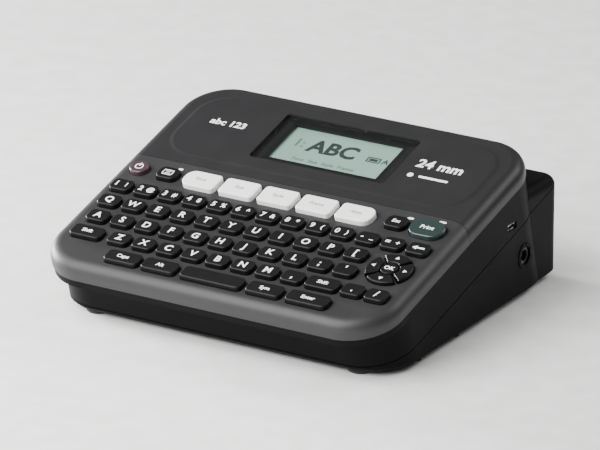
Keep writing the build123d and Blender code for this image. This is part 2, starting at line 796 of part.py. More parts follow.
second_x = winder_x + spacing(winder_teeth, second_teeth)
idler_x = second_x + spacing(second_teeth, idler_teeth)
pinion_x = idler_x + spacing(idler_teeth, pinion_teeth)

platen_radius = 5.0
tape_thickness = 0.2
tape_gap = 0.05
platen_x = left_x + 19.2
platen_y = tape_y + tape_thickness / 2 + tape_gap + platen_radius

# The last idler is placed so that it meshes with both the winder gear and the platen gear.
span = hypot(platen_x - winder_x, platen_y - gear_line_y)
to_winder = spacing(winder_teeth, third_teeth)
to_platen = spacing(third_teeth, platen_teeth)
bearing = degrees(atan2(platen_y - gear_line_y, platen_x - winder_x))
lean = degrees(acos((to_winder**2 + span**2 - to_platen**2) / (2 * to_winder * span)))
third_direction = bearing - lean
third_x = winder_x + to_winder * cos(radians(third_direction))
third_y = gear_line_y + to_winder * sin(radians(third_direction))
platen_direction = degrees(atan2(platen_y - third_y, platen_x - third_x))

idler_phase = 0.0
pinion_phase = mesh_phase(idler_phase, idler_teeth, pinion_teeth, 0.0)
second_phase = mesh_phase(idler_phase, idler_teeth, second_teeth, 180.0)
winder_phase = mesh_phase(second_phase, second_teeth, winder_teeth, 180.0)
third_phase = mesh_phase(winder_phase, winder_teeth, third_teeth, third_direction)
platen_phase = mesh_phase(third_phase, third_teeth, platen_teeth, platen_direction)


def gear(x, y, teeth, phase, bore, bottom=gear_bottom, top=gear_top):
    """A spur gear with straight-flanked teeth, a web and a hub."""
    corners = []
    root = pitch_radius(teeth) - 1.25 * gear_module
    tip = pitch_radius(teeth) + 0.9 * gear_module
    for tooth in range(teeth):
        middle = phase + 360 * tooth / teeth
        for radius, share in ((root, -0.29), (tip, -0.11), (tip, 0.11), (root, 0.29)):
            angle = radians(middle + share * 360 / teeth)
            corners.append((x + radius * cos(angle), y + radius * sin(angle)))
    with BuildLine() as teeth_line:
        Polyline(*corners, close=True)
    with BuildSketch(Plane.XY.offset(bottom)) as wheel:
        make_face(teeth_line.line)
        with Locations((x, y)):
            Circle(bore, mode=Mode.SUBTRACT)
    extrude(wheel.sketch, amount=top - bottom)
    if root > 4 * bore:
        with BuildSketch(Plane.XY.offset(top)) as web:
            with Locations((x, y)):
                Circle(root - 2.0)
                Circle(bore + 2.0, mode=Mode.SUBTRACT)
        extrude(web.sketch, amount=-1.4, mode=Mode.SUBTRACT)


# The roller holder swings so that the platen leaves the print head straight along the gears' line.
holder_arm = 16.0
across = radians(platen_direction - 90)
holder_x = platen_x + holder_arm * cos(across)
holder_y = platen_y + holder_arm * sin(across)
holder_plates = ((cassette_z - 1.0, cassette_z + 0.4), (plate_bottom - 1.9, plate_bottom - 0.5))

blade_x = (left_x + 7.0, left_x + 7.6)
blade_z = (tape_bottom - 0.4, tape_bottom + tape_height + 0.4)
lever_x = left_x + 3.2
lever_y = inner_y + 135.0
lever_tip = 9.0
lever_post = 2.0

motor_spot = (pinion_x, gear_line_y)
plate_x = (lever_x, pinion_x + 13.0)
plate_y = (gear_line_y - 17.0, inner_y + 160.0)

with BuildPart() as mechanism_frame:
    with BuildSketch(Plane.XY.offset(plate_bottom)) as plate:
        with Locations(((plate_x[0] + plate_x[1]) / 2, (plate_y[0] + plate_y[1]) / 2)):
            Rectangle(plate_x[1] - plate_x[0], plate_y[1] - plate_y[0])
        fillet(plate.vertices().sort_by(Axis.Y)[:2], 2.0)
        fillet(plate.vertices().sort_by(Axis.Y)[-2:], 14.0)
        with Locations((lever_x, lever_y)):
            Circle(2.6)
        with Locations(motor_spot):
            Circle(3.4, mode=Mode.SUBTRACT)
        with Locations((winder_x, gear_line_y)):
            Circle(3.0 + running_gap, mode=Mode.SUBTRACT)
        with Locations((platen_x, platen_y)):
            Circle(6.0, mode=Mode.SUBTRACT)
        with Locations((pinion_x + 2.8, inner_y + 145.0), (idler_x - 14.0, inner_y + 148.0)):
            RectangleRounded(12.0, 8.0, 2.0, mode=Mode.SUBTRACT)
    extrude(amount=plate_thickness)
    for x, y in ((idler_x, gear_line_y), (second_x, gear_line_y), (third_x, third_y)):
        upright(x, y, post_radius, plate_bottom + plate_thickness, gear_top + 0.6)
        upright(x, y, post_radius + 1.2, plate_bottom + plate_thickness, gear_bottom - 0.2)
        upright(x, y, post_radius + 0.9, gear_top + 0.3, gear_top + 0.9)
    # The pins of the roller holder and of the cutter lever hang from the plate.
    upright(holder_x, holder_y, axle_radius, cassette_z - 1.6, plate_bottom)
    upright(lever_x, lever_y, lever_post / 2, floor_top, plate_bottom)
    # Tabs reach down to the floor beside the cassette and carry the plate.
    foot_z = (floor_top, plate_bottom)
    block((plate_x[0], plate_x[0] + 4.0), (inner_y + 97.0, inner_y + 98.5), foot_z)
    block((cassette_hole_x[1] + 1.2, plate_x[1] - 8.0), (inner_y + 151.0, inner_y + 152.5), foot_z)
    block((plate_x[1] - 1.5, plate_x[1]), (inner_y + 96.0, inner_y + 104.0), foot_z)
    # The anvil stands behind the label, where the blade meets it.
    block((blade_x[0] - 1.4, blade_x[1] + 1.4), (tape_y + 2.0, tape_y + 3.4), (blade_z[0], plate_bottom))
write(mechanism_frame, "mechanism_frame")

with BuildPart() as motor:
    x, y = motor_spot
    upright(x, y, motor_radius, plate_bottom - motor_height, plate_bottom)
    upright(x, y, 3.0, plate_bottom, plate_bottom + plate_thickness)
    upright(x, y, 2.6, plate_bottom - motor_height - 1.2, plate_bottom - motor_height)
    for side in (-1, 1):
        flat_y = sorted((y + side * motor_radius, y + side * (motor_radius - 1.6)))
        bottom = plate_bottom - motor_height
        block((x - motor_radius, x + motor_radius), flat_y, (bottom, plate_bottom), Mode.SUBTRACT)
write(motor, "motor")

with BuildPart() as motor_pinion:
    gear(*motor_spot, pinion_teeth, pinion_phase, 1.0)
    upright(*motor_spot, 1.0, plate_bottom + plate_thickness + 0.1, gear_top + 0.4)
write(motor_pinion, "motor_pinion")

with BuildPart() as drive_gear:
    gear(idler_x, gear_line_y, idler_teeth, idler_phase, post_radius + running_gap)
write(drive_gear, "drive_gear")

with BuildPart() as second_gear:
    gear(second_x, gear_line_y, second_teeth, second_phase, post_radius + running_gap)
write(second_gear, "second_gear")

with BuildPart() as third_gear:
    gear(third_x, third_y, third_teeth, third_phase, post_radius + running_gap)
write(third_gear, "third_gear")

spindle_radius = 3.0
spindle_bottom = cassette_z + 3.0

with BuildPart() as winder_gear:
    gear(winder_x, gear_line_y, winder_teeth, winder_phase, 1.0)
    upright(winder_x, gear_line_y, 1.0, gear_bottom, gear_top)
    upright(winder_x, gear_line_y, spindle_radius, spindle_bottom, gear_bottom)
write(winder_gear, "winder_gear")

# ---------------------------------------------------------------- platen and its holder
with BuildPart() as platen_shaft:
    upright(platen_x, platen_y, axle_radius, holder_plates[0][0] - 0.4, gear_top + 0.6)
write(platen_shaft, "platen_shaft")

with BuildPart() as platen_roller:
    upright(platen_x, platen_y, platen_radius, holder_plates[0][1] + 0.3, holder_plates[1][0] - 0.3)
    upright(platen_x, platen_y, axle_radius, 0, body_height, Mode.SUBTRACT)
write(platen_roller, "platen_roller")

with BuildPart() as platen_gear:
    gear(platen_x, platen_y, platen_teeth, platen_phase, axle_radius)
write(platen_gear, "platen_gear")

with BuildPart() as roller_holder:
    for bottom, top in holder_plates:
        with BuildSketch(Plane.XY.offset(bottom)):
            with Locations(((platen_x + holder_x) / 2, (platen_y + holder_y) / 2)):
                SlotCenterToCenter(holder_arm, 6.4, rotation=degrees(across))
        extrude(amount=top - bottom)
    upright(holder_x, holder_y, 3.2, holder_plates[0][0], holder_plates[1][1])
    for x, y in ((platen_x, platen_y), (holder_x, holder_y)):
        upright(x, y, axle_radius + running_gap, 0, body_height, Mode.SUBTRACT)
write(roller_holder, "roller_holder")

# ---------------------------------------------------------------- print head
head_face = tape_y - tape_thickness / 2 - tape_gap

with BuildPart() as print_head:
    head_y = (head_face - 1.0, head_face)
    block((platen_x - 4.5, platen_x + 3.4), head_y, (tape_bottom, tape_bottom + tape_height))
write(print_head, "print_head")

with BuildPart() as heat_sink:
    sink_y = (head_face - 2.6, head_face - 1.0)
    block((platen_x - 4.5, platen_x + 3.4), sink_y, (tape_bottom - 0.5, plate_bottom))
    for fin in range(4):
        fin_x = platen_x - 4.5 + 2.2 * fin
        block((fin_x, fin_x + 1.2), (sink_y[0] - 3.0, sink_y[0]), (tape_bottom, plate_bottom - 4.0))
write(heat_sink, "heat_sink")

# ---------------------------------------------------------------- cutter
with BuildPart() as cutter_lever:
    lever_z = (lever_hole_z[0] + 0.6, lever_hole_z[1] - 0.6)
    thumb_y = (lever_hole_y[0] + 0.6, lever_hole_y[1] - 0.6)
    pad_x = left_x + 0.1
    block((-side_x + 0.3, pad_x), thumb_y, lever_z)
    block((pad_x, pad_x + 2.0), (lever_y - 8.0, lever_hole_y[1] - 0.6), lever_z)
    block((pad_x, lever_x), (lever_y - 6.0, lever_y), lever_z)
    upright(lever_x, lever_y, 3.0, *lever_z)
    block((lever_x, lever_x + lever_tip), (lever_y - 1.0, lever_y + 1.0), (lever_z[0], lever_z[0] + 4.0))
    upright(lever_x + lever_tip, lever_y, 1.3, lever_z[0], lever_z[0] + 4.0)
    upright(lever_x, lever_y, lever_post / 2 + running_gap, 0, body_height, Mode.SUBTRACT)
write(cutter_lever, "cutter_lever")

carriage_z = (lever_z[0] + 4.6, lever_z[1])
fork_x = (lever_x + lever_tip - 1.4, lever_x + lever_tip + 1.5)
fork_gap = 0.5

with BuildPart() as blade_carriage:
    block((blade_x[1], fork_x[1]), (lever_y - 3.6, lever_y + 3.6), carriage_z)
    for side in (-1, 1):
        prong_y = sorted((lever_y + side * (1.3 + fork_gap), lever_y + side * 3.6))
        block(fork_x, prong_y, (lever_z[0], carriage_z[0]))
write(blade_carriage, "blade_carriage")

with BuildPart() as cutter_blade:
    with BuildSketch(Plane.XY.offset(blade_z[0])) as blade:
        with BuildLine() as blade_line:
            Polyline(
                (blade_x[0], lever_y + 2.4),
                (blade_x[1], lever_y + 2.4),
                (blade_x[1], tape_y - 1.6),
                (blade_x[0], tape_y - 2.4),
                close=True,
            )
        make_face()
    extrude(amount=blade_z[1] - blade_z[0])
write(cutter_blade, "cutter_blade")

# ---------------------------------------------------------------- tape cassette
cassette_x = (cassette_left, cassette_right)
cassette_y = (cassette_front, cassette_front + cassette_length)
cassette_top = cassette_z + cassette_height
roll_spot = (cassette_right - 21.0, inner_y + 121.5)
ribbon_spot = (cassette_left + 18.0, inner_y + 132.5)
winder_spot = (winder_x, gear_line_y)
roll_radius = 17.0
roll_bore = 5.0
ribbon_radius = 8.0
ribbon_bore = 2.5
spool_gap = 0.1
spool_z = (cassette_z + cassette_wall + 0.3, cassette_top - cassette_wall - 0.3)


def cassette_outline(inset, corner):
    """Rounded outline of the cassette, seen from above."""
    with Locations((sum(cassette_x) / 2, sum(cassette_y) / 2)):
        RectangleRounded(cassette_width - 2 * inset, cassette_length - 2 * inset, corner)


with BuildPart() as cassette_case:
    with BuildSketch(Plane.XY.offset(cassette_z)):
        cassette_outline(0, 4.0)
    extrude(amount=cassette_height - cassette_wall)
    with BuildSketch(Plane.XY.offset(cassette_z + cassette_wall)):
        cassette_outline(cassette_wall, 2.6)
    extrude(amount=cassette_height, mode=Mode.SUBTRACT)
    for spot, bore in ((roll_spot, roll_bore), (ribbon_spot, ribbon_bore)):
        upright(*spot, bore, cassette_z + cassette_wall, cassette_top - cassette_wall)
        upright(*spot, bore - 1.2, cassette_z, cassette_top, Mode.SUBTRACT)
    upright(*winder_spot, spindle_radius + 1.0, 0, cassette_z + cassette_wall + 1, Mode.SUBTRACT)
    slot_x = (cassette_left - 1, cassette_left + 2 * cassette_wall)
    block(slot_x, (tape_y - 1.0, tape_y + 1.2), (tape_bottom + 0.5, cassette_top), Mode.SUBTRACT)
write(cassette_case, "cassette_case")

with BuildPart() as cassette_lid:
    with BuildSketch(Plane.XY.offset(cassette_top - cassette_wall)):
        cassette_outline(0, 4.0)
        with Locations(winder_spot):
            Circle(spindle_radius + 1.0, mode=Mode.SUBTRACT)
        with Locations((cassette_left + 36.0, inner_y + 104.5)):
            RectangleRounded(14.0, 5.0, 2.0, mode=Mode.SUBTRACT)
    extrude(amount=cassette_wall)
write(cassette_lid, "cassette_lid")

with BuildPart() as label_roll:
    upright(*roll_spot, roll_radius, *spool_z)
    upright(*roll_spot, roll_bore + spool_gap, 0, body_height, Mode.SUBTRACT)
write(label_roll, "label_roll")

with BuildPart() as ribbon_spool:
    upright(*ribbon_spot, ribbon_radius, *spool_z)
    upright(*ribbon_spot, ribbon_bore + spool_gap, 0, body_height, Mode.SUBTRACT)
write(ribbon_spool, "ribbon_spool")

with BuildPart() as winder_spool:
    upright(*winder_spot, ribbon_radius + 0.5, *spool_z)
    upright(*winder_spot, spindle_radius + spool_gap, 0, body_height, Mode.SUBTRACT)
write(winder_spool, "winder_spool")

with BuildPart() as label_tape:
    label_x = (blade_x[1] + 0.8, cassette_left - tape_gap)
    label_y = (tape_y - tape_thickness / 2, tape_y + tape_thickness / 2)
    block(label_x, label_y, (tape_bottom, tape_bottom + tape_height))
write(label_tape, "label_tape")
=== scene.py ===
import json
import math

import bpy
from mathutils import Matrix, Vector


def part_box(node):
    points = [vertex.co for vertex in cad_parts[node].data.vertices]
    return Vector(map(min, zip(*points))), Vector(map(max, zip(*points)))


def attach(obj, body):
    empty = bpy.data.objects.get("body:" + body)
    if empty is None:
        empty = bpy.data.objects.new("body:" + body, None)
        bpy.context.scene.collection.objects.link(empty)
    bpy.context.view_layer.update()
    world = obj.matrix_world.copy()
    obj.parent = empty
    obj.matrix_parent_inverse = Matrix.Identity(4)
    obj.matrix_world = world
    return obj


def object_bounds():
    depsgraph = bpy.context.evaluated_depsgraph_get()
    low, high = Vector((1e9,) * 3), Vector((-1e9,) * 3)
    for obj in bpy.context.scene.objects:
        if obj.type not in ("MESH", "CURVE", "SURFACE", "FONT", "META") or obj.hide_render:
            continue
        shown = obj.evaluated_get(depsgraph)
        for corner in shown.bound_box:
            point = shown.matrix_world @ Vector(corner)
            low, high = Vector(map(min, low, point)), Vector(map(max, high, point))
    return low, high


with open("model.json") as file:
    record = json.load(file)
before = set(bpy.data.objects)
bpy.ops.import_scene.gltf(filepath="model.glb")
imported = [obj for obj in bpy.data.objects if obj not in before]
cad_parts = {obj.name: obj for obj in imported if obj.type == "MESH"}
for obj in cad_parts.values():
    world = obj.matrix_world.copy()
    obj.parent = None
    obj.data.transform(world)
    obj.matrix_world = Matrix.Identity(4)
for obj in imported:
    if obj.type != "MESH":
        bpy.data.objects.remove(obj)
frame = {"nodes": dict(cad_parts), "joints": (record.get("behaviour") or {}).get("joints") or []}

bl_info = {
    "name": "Desktop Label Maker Finish",
    "version": (1, 0, 0),
    "blender": (4, 5, 0),
    "location": "3D View > Sidebar > Label Maker",
    "description": "Finishes, legends, screen and stage of a desktop label maker",
    "category": "Object",
}

MM = 0.001
CAD_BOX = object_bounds()
JOINTS = {joint["name"]: joint for joint in frame["joints"]}

# ---------------------------------------------------------------- the sloping face as a frame
ACROSS = Vector((1, 0, 0))
OUTWARD = -Vector(JOINTS["space_key_press"]["axis"]).normalized()
UPHILL = OUTWARD.cross(ACROSS)
FACE_LEVEL = max(OUTWARD.dot(v.co) for v in frame["nodes"]["front_cover"].data.vertices)


def on_face(across, uphill, height=0.0):
    """Matrix of a place on the face: X across it, Y up its slope, Z out of it, in metres."""
    place = ACROSS * across + UPHILL * uphill + OUTWARD * (FACE_LEVEL + height)
    return Matrix.Translation(place) @ Matrix((ACROSS, UPHILL, OUTWARD)).transposed().to_4x4()


def facing(origin, right, up):
    """Matrix of a place on a wall, whose outward side is right x up."""
    return Matrix.Translation(origin) @ Matrix((right, up, right.cross(up))).transposed().to_4x4()


def linear(hex_colour):
    """Linear RGBA of an sRGB hex colour such as 'b4c8bd'."""
    parts = [int(hex_colour[i : i + 2], 16) / 255 for i in (0, 2, 4)]
    return (*[c / 12.92 if c <= 0.04045 else ((c + 0.055) / 1.055) ** 2.4 for c in parts], 1.0)


# ---------------------------------------------------------------- sizes and colours to change
def colour_setting(name, description, hex_colour):
    """A colour the user may change, from its sRGB hex value."""
    return bpy.props.FloatVectorProperty(
        name=name, description=description, subtype="COLOR", size=4, min=0, max=1, default=linear(hex_colour)
    )


def length_setting(name, description, millimetres):
    """A length the user may change, kept in metres."""
    return bpy.props.FloatProperty(
        name=name, description=description, unit="LENGTH", precision=5, default=millimetres * MM
    )


class LabelMakerColours(bpy.types.PropertyGroup):
    """Colours of the visible finishes."""

    face: colour_setting("Face", "Moulded plastic of the keyboard cover", "29292a")
    display: colour_setting("Display cover", "Moulded plastic round the screen", "212122")
    casing: colour_setting("Casing", "Moulded plastic of the walls and the base", "0d0d0e")
    keys: colour_setting("Keys", "Plastic of the letter keys", "0e0e0f")
    soft_keys: colour_setting("Function keys", "Plastic of the white keys", "f3f3f0")
    print_key: colour_setting("Print key", "Plastic of the large oval key", "22302e")
    power_key: colour_setting("Power key", "Plastic of the round key", "3c2c32")
    ink: colour_setting("Legend ink", "Pad-printed ink on the keys", "f8f8f5")
    screen: colour_setting("Screen", "Reflector of the display", "b4dccb")
    segments: colour_setting("Segments", "Dark segments of the display", "3f4d48")


class LabelMakerSizes(bpy.types.PropertyGroup):
    """Sizes of the added pieces."""

    letter: length_setting("Letter height", "Height of a letter on a key", 4.0)
    figure: length_setting("Figure height", "Height of a figure on a number key", 3.4)
    word: length_setting("Word height", "Height of a word on a wide key", 2.3)
    ink: length_setting("Ink thickness", "How far printed ink stands out", 0.05)
    border_side: length_setting("Border width", "Printed border at the window's ends", 7.0)
    border_edge: length_setting("Border height", "Printed border along the window's long edges", 5.0)
    plateau: length_setting("Plateau height", "Raised area round the display", 0.3)
    plateau_slope: length_setting("Plateau slope", "Width of the plateau's sloping edge", 2.2)
    ridge: length_setting("Ridge height", "How far the lever's ridges and the bezels stand out", 0.45)


def colours():
    """The scene's colours."""
    return bpy.context.scene.label_maker_colours


def sizes():
    """The scene's sizes."""
    return bpy.context.scene.label_maker_sizes


# ---------------------------------------------------------------- materials
def add_node(tree, kind, values=None, links=None, **properties):
    """Adds a node with its properties, its input values by name or index, and its links from outputs."""
    node = tree.nodes.new(kind)
    for name, value in properties.items():
        setattr(node, name, value)
    for socket, value in (values or {}).items():
        node.inputs[socket].default_value = value
    for socket, source in (links or {}).items():
        tree.links.new(source, node.inputs[socket])
    return node


def new_material(name):
    """An empty material with its tree, the Object coordinates and the surface shader."""
    material = bpy.data.materials.new(name)
    material.use_nodes = True
    tree = material.node_tree
    tree.nodes.clear()
    coordinates = add_node(tree, "ShaderNodeTexCoord").outputs["Object"]
    surface = add_node(tree, "ShaderNodeBsdfPrincipled")
    add_node(tree, "ShaderNodeOutputMaterial", links={"Surface": surface.outputs["BSDF"]})
    return material, tree, coordinates, surface


def per_metre(millimetres):
    """Texture scale that makes one feature this many millimetres wide."""
    return 1 / (millimetres * MM)


def shade(colour, factor):
    """The colour made lighter or darker by a factor."""
    return (*[min(1.0, c * factor) for c in colour[:3]], 1.0)


def vary_colour(tree, source, surface, colour, spread):
    """Lets the base colour wander by this share between two close tones, following a pattern."""
    ramp = add_node(tree, "ShaderNodeValToRGB", links={"Fac": source})
    ramp.color_ramp.elements[0].position = 0.35
    ramp.color_ramp.elements[0].color = shade(colour, 1 - spread)
    ramp.color_ramp.elements[1].position = 0.65
    ramp.color_ramp.elements[1].color = shade(colour, 1 + spread)
    tree.links.new(ramp.outputs["Color"], surface.inputs["Base Color"])


def vary_roughness(tree, source, surface, low, high):
    """Lets the roughness wander between two values, following a pattern."""
    spread = add_node(tree, "ShaderNodeMapRange", {"To Min": low, "To Max": high}, {"Value": source})
    tree.links.new(spread.outputs["Result"], surface.inputs["Roughness"])


def moulded(
    name, colour, roughness, grain=0.5, depth=0.012, mottle=14.0, ior=1.54, spread=0.04, specular=0.5
):
    """Injection-moulded plastic: a spark-eroded grain, and patches that hands and the mould left glossier."""
    material, tree, coordinates, surface = new_material(name)
    surface.inputs["IOR"].default_value = ior
    surface.inputs["Specular IOR Level"].default_value = specular
    fine = add_node(
        tree,
        "ShaderNodeTexNoise",
        {"Scale": per_metre(grain), "Detail": 3.0, "Roughness": 0.6},
        {"Vector": coordinates},
    )
    patches = add_node(
        tree, "ShaderNodeTexNoise", {"Scale": per_metre(mottle), "Detail": 2.0}, {"Vector": coordinates}
    )
    vary_colour(tree, patches.outputs["Fac"], surface, colour, spread)
    vary_roughness(tree, patches.outputs["Fac"], surface, roughness - 0.05, roughness + 0.06)
    bump = add_node(
        tree, "ShaderNodeBump", {"Strength": 1.0, "Distance": depth * MM}, {"Height": fine.outputs["Fac"]}
    )
    tree.links.new(bump.outputs["Normal"], surface.inputs["Normal"])
    return material


def metal(name, colour, roughness, stretch=(1.0, 1.0, 1.0), pitch=0.4, depth=0.004):
    """Bare metal with the marks of its tooling, drawn out along one axis where it is rolled or turned."""
    material, tree, coordinates, surface = new_material(name)
    surface.inputs["Metallic"].default_value = 1.0
    drawn = add_node(tree, "ShaderNodeMapping", {"Scale": stretch}, {"Vector": coordinates})
    marks = add_node(
        tree,
        "ShaderNodeTexNoise",
        {"Scale": per_metre(pitch), "Detail": 2.0},
        {"Vector": drawn.outputs["Vector"]},
    )
    vary_colour(tree, marks.outputs["Fac"], surface, colour, 0.08)
    vary_roughness(tree, marks.outputs["Fac"], surface, roughness - 0.08, roughness + 0.08)
    bump = add_node(
        tree, "ShaderNodeBump", {"Strength": 0.6, "Distance": depth * MM}, {"Height": marks.outputs["Fac"]}
    )
    tree.links.new(bump.outputs["Normal"], surface.inputs["Normal"])
    return material


def clear_acrylic():
    """Cast and polished acrylic sheet: clear enough to read through, with faint sharp reflections."""
    material, tree, coordinates, surface = new_material("polished_clear_acrylic")
    surface.inputs["Base Color"].default_value = linear("101312")
    surface.inputs["IOR"].default_value = 1.49
    surface.inputs["Specular IOR Level"].default_value = 1.0
    surface.inputs["Alpha"].default_value = 0.2
    waves = add_node(
        tree, "ShaderNodeTexNoise", {"Scale": per_metre(9.0), "Detail": 1.0}, {"Vector": coordinates}
    )
    vary_roughness(tree, waves.outputs["Fac"], surface, 0.03, 0.07)
    return material


def smoked_styrene():
    """Smoked see-through polystyrene of the tape cassette: dark, with the reels just visible inside."""
    material, tree, coordinates, surface = new_material("smoked_moulded_polystyrene")
    surface.inputs["Transmission Weight"].default_value = 0.65
    surface.inputs["IOR"].default_value = 1.59
    flow = add_node(
        tree, "ShaderNodeTexNoise", {"Scale": per_metre(16.0), "Detail": 2.0}, {"Vector": coordinates}
    )
    vary_colour(tree, flow.outputs["Fac"], surface, linear("5d6267"), 0.08)
    vary_roughness(tree, flow.outputs["Fac"], surface, 0.12, 0.22)
    return material


def display_reflector(colour):
    """Reflective liquid-crystal glass: a pale grey-green ground crossed by the fine grid of its pixels."""
    material, tree, coordinates, surface = new_material("reflective_lcd_glass")
    surface.inputs["IOR"].default_value = 1.52
    # The pixels are about 0.35 mm apart; the grid is drawn at 0.7 mm so that it shows.
    level = add_node(
        tree, "ShaderNodeMapping", {"Rotation": (-math.asin(UPHILL.z), 0, 0)}, {"Vector": coordinates}
    )
    grids = []
    for direction in ("X", "Y"):
        grids.append(
            add_node(
                tree,
                "ShaderNodeTexWave",
                {"Scale": per_metre(0.7) / 20 * math.pi, "Distortion": 0.0},
                {"Vector": level.outputs["Vector"]},
                bands_direction=direction,
            )
        )
    grid = add_node(
        tree,
        "ShaderNodeMath",
        links={0: grids[0].outputs["Fac"], 1: grids[1].outputs["Fac"]},
        operation="MULTIPLY",
    )
    vary_colour(tree, grid.outputs["Value"], surface, colour, 0.035)
    vary_roughness(tree, grid.outputs["Value"], surface, 0.24, 0.34)
    return material


def circuit_laminate():
    """Solder-masked glass-fibre laminate: dark green, with the weave and the buried tracks just showing."""
    material, tree, coordinates, surface = new_material("solder_masked_fr4")
    tracks = add_node(
        tree,
        "ShaderNodeTexBrick",
        {
            "Scale": per_metre(6.0),
            "Mortar Size": 0.05,
            "Color1": linear("12402c"),
            "Color2": linear("164a33"),
        },
        {"Vector": coordinates},
    )
    tree.links.new(tracks.outputs["Color"], surface.inputs["Base Color"])
    weave = add_node(
        tree, "ShaderNodeTexChecker", {"Scale": per_metre(0.6)}, {"Vector": coordinates}
    )
    vary_roughness(tree, weave.outputs["Fac"], surface, 0.3, 0.4)
    return material


def cell_jacket():
    """Printed shrink sleeve of an alkaline cell: black, and copper-coloured towards one end."""
    cell_length, row_start, band_start, band_blend = 50.8 * MM, 15.0 * MM, 34.0 * MM, 0.4 * MM
    material, tree, coordinates, surface = new_material("printed_cell_sleeve")
    surface.inputs["Metallic"].default_value = 0.6
    parts = add_node(tree, "ShaderNodeSeparateXYZ", links={"Vector": coordinates})
    band = add_node(
        tree, "ShaderNodeMath", {1: cell_length, 2: row_start}, {0: parts.outputs["X"]}, operation="WRAP"
    )
    ramp = add_node(
        tree,
        "ShaderNodeMapRange",
        {"From Min": band_start, "From Max": band_start + band_blend},
        {"Value": band.outputs["Value"]},
    )
    colour = add_node(
        tree,
        "ShaderNodeMix",
        {"A": linear("17181a"), "B": linear("a8683a")},
        {"Factor": ramp.outputs["Result"]},
        data_type="RGBA",
    )
    tree.links.new(colour.outputs["Result"], surface.inputs["Base Color"])
    wear = add_node(tree, "ShaderNodeTexNoise", {"Scale": per_metre(4.0)}, {"Vector": coordinates})
    vary_roughness(tree, wear.outputs["Fac"], surface, 0.25, 0.38)
    return material


def finishes():
    """Every finish of the record's material slots, by slot."""
    tint = colours()
    return {
        # Spark-eroded ABS: matt charcoal that brightens softly where it turns to the light.
        "charcoal_abs": moulded("spark_eroded_abs_charcoal", tint.face, 0.47, specular=0.31),
        "display_abs": moulded("spark_eroded_abs_graphite", tint.display, 0.42, grain=0.45, specular=0.25),
        "black_abs": moulded(
            "spark_eroded_abs_black", tint.casing, 0.52, grain=0.6, depth=0.016, specular=0.05
        ),
        "window_acrylic": clear_acrylic(),
        # Keycaps are moulded in polished tools and satin from the mould: smoother than the covers.
        "key_black": moulded(
            "satin_moulded_abs_keycap",
            tint.keys,
            0.44,
            grain=0.35,
            depth=0.006,
            mottle=5.0,
            specular=0.16,
        ),
        "key_white": moulded(
            "satin_moulded_abs_white", tint.soft_keys, 0.36, grain=0.35, depth=0.006, spread=0.015
        ),
        "key_green": moulded("satin_moulded_abs_bottle_green", tint.print_key, 0.26, grain=0.35, depth=0.005),
        "key_plum": moulded("satin_moulded_abs_plum", tint.power_key, 0.3, grain=0.35, depth=0.005),
        "lcd_glass": display_reflector(tint.screen),
        # Silicone rubber: softly translucent grey with no shine.
        "silicone": moulded("moulded_silicone_rubber", linear("8f9292"), 0.62, grain=0.9, ior=1.41),
        "foot_rubber": moulded(
            "moulded_nitrile_rubber", linear("1b1b1c"), 0.78, grain=0.8, depth=0.03, ior=1.52
        ),
        "platen_rubber": moulded(
            "ground_nitrile_rubber", linear("2a2a2c"), 0.7, grain=0.4, depth=0.02, ior=1.52
        ),
        "frame_plastic": moulded("glass_filled_abs", linear("2a2c2e"), 0.5, grain=0.8, depth=0.02),
        "lever_abs": moulded("spark_eroded_abs_lever", linear("17181a"), 0.42, grain=0.5, specular=0.25),
        # Acetal: waxy, dense white.
        "acetal": moulded("moulded_acetal", linear("dcdbd3"), 0.38, grain=0.7, depth=0.008, ior=1.48),
        "socket_plastic": moulded("moulded_nylon_black", linear("141414"), 0.4, grain=0.6, ior=1.53),
        "head_ceramic": moulded("glazed_alumina", linear("c9c6bb"), 0.2, grain=1.2, depth=0.003, ior=1.76),
        "label_film": moulded(
            "coated_polyester_tape", linear("f1f1ec"), 0.28, grain=1.5, depth=0.002, ior=1.58
        ),
        "ribbon_film": moulded(
            "waxed_polyester_ribbon", linear("101012"), 0.22, grain=1.0, depth=0.004, ior=1.58
        ),
        "cassette_smoke": smoked_styrene(),
        "circuit_board": circuit_laminate(),
        "cell_jacket": cell_jacket(),
        # Metals keep their tool marks: ground pins, rolled sheet, turned brass.
        "steel_pin": metal("ground_steel", linear("b9bbbe"), 0.28, stretch=(0.1, 1, 1)),
        "screw_steel": metal("black_oxide_steel", linear("4a4a4c"), 0.4, pitch=0.8),
        "socket_metal": metal("nickel_plated_steel", linear("c4c3bd"), 0.22, pitch=1.2),
        "spring_steel": metal("nickel_plated_spring_steel", linear("c8c6bf"), 0.25, pitch=0.8),
        "zinc_sheet": metal("galvanised_sheet", linear("a9adb0"), 0.4, pitch=5.0),
        "motor_can": metal("rolled_steel_can", linear("a5a7a9"), 0.34, stretch=(1, 1, 0.08)),
        "brass_gear": metal("turned_brass", linear("c9a75c"), 0.26, stretch=(1, 1, 0.1)),
        "sink_aluminium": metal("extruded_aluminium", linear("c3c5c7"), 0.33, stretch=(1, 1, 0.06)),
        "blade_steel": metal("ground_tool_steel", linear("cfd1d3"), 0.2, stretch=(1, 0.15, 1)),
    }


# ---------------------------------------------------------------- mesh helpers
def deselect():
    """Leaves nothing selected."""
    if bpy.context.object and bpy.context.object.mode != "OBJECT":
        bpy.ops.object.mode_set(mode="OBJECT")
    bpy.ops.object.select_all(action="DESELECT")


def pick(*objects):
    """Selects these objects only, with the first one active."""
    deselect()
    for obj in objects:
        obj.select_set(True)
    bpy.context.view_layer.objects.active = objects[0]


def join(name, objects):
    """Joins the objects into one of this name."""
    pick(*objects)
    if len(objects) > 1:
        bpy.ops.object.join()
    joined = bpy.context.object
    joined.name = name
    joined.data.name = name
    return joined


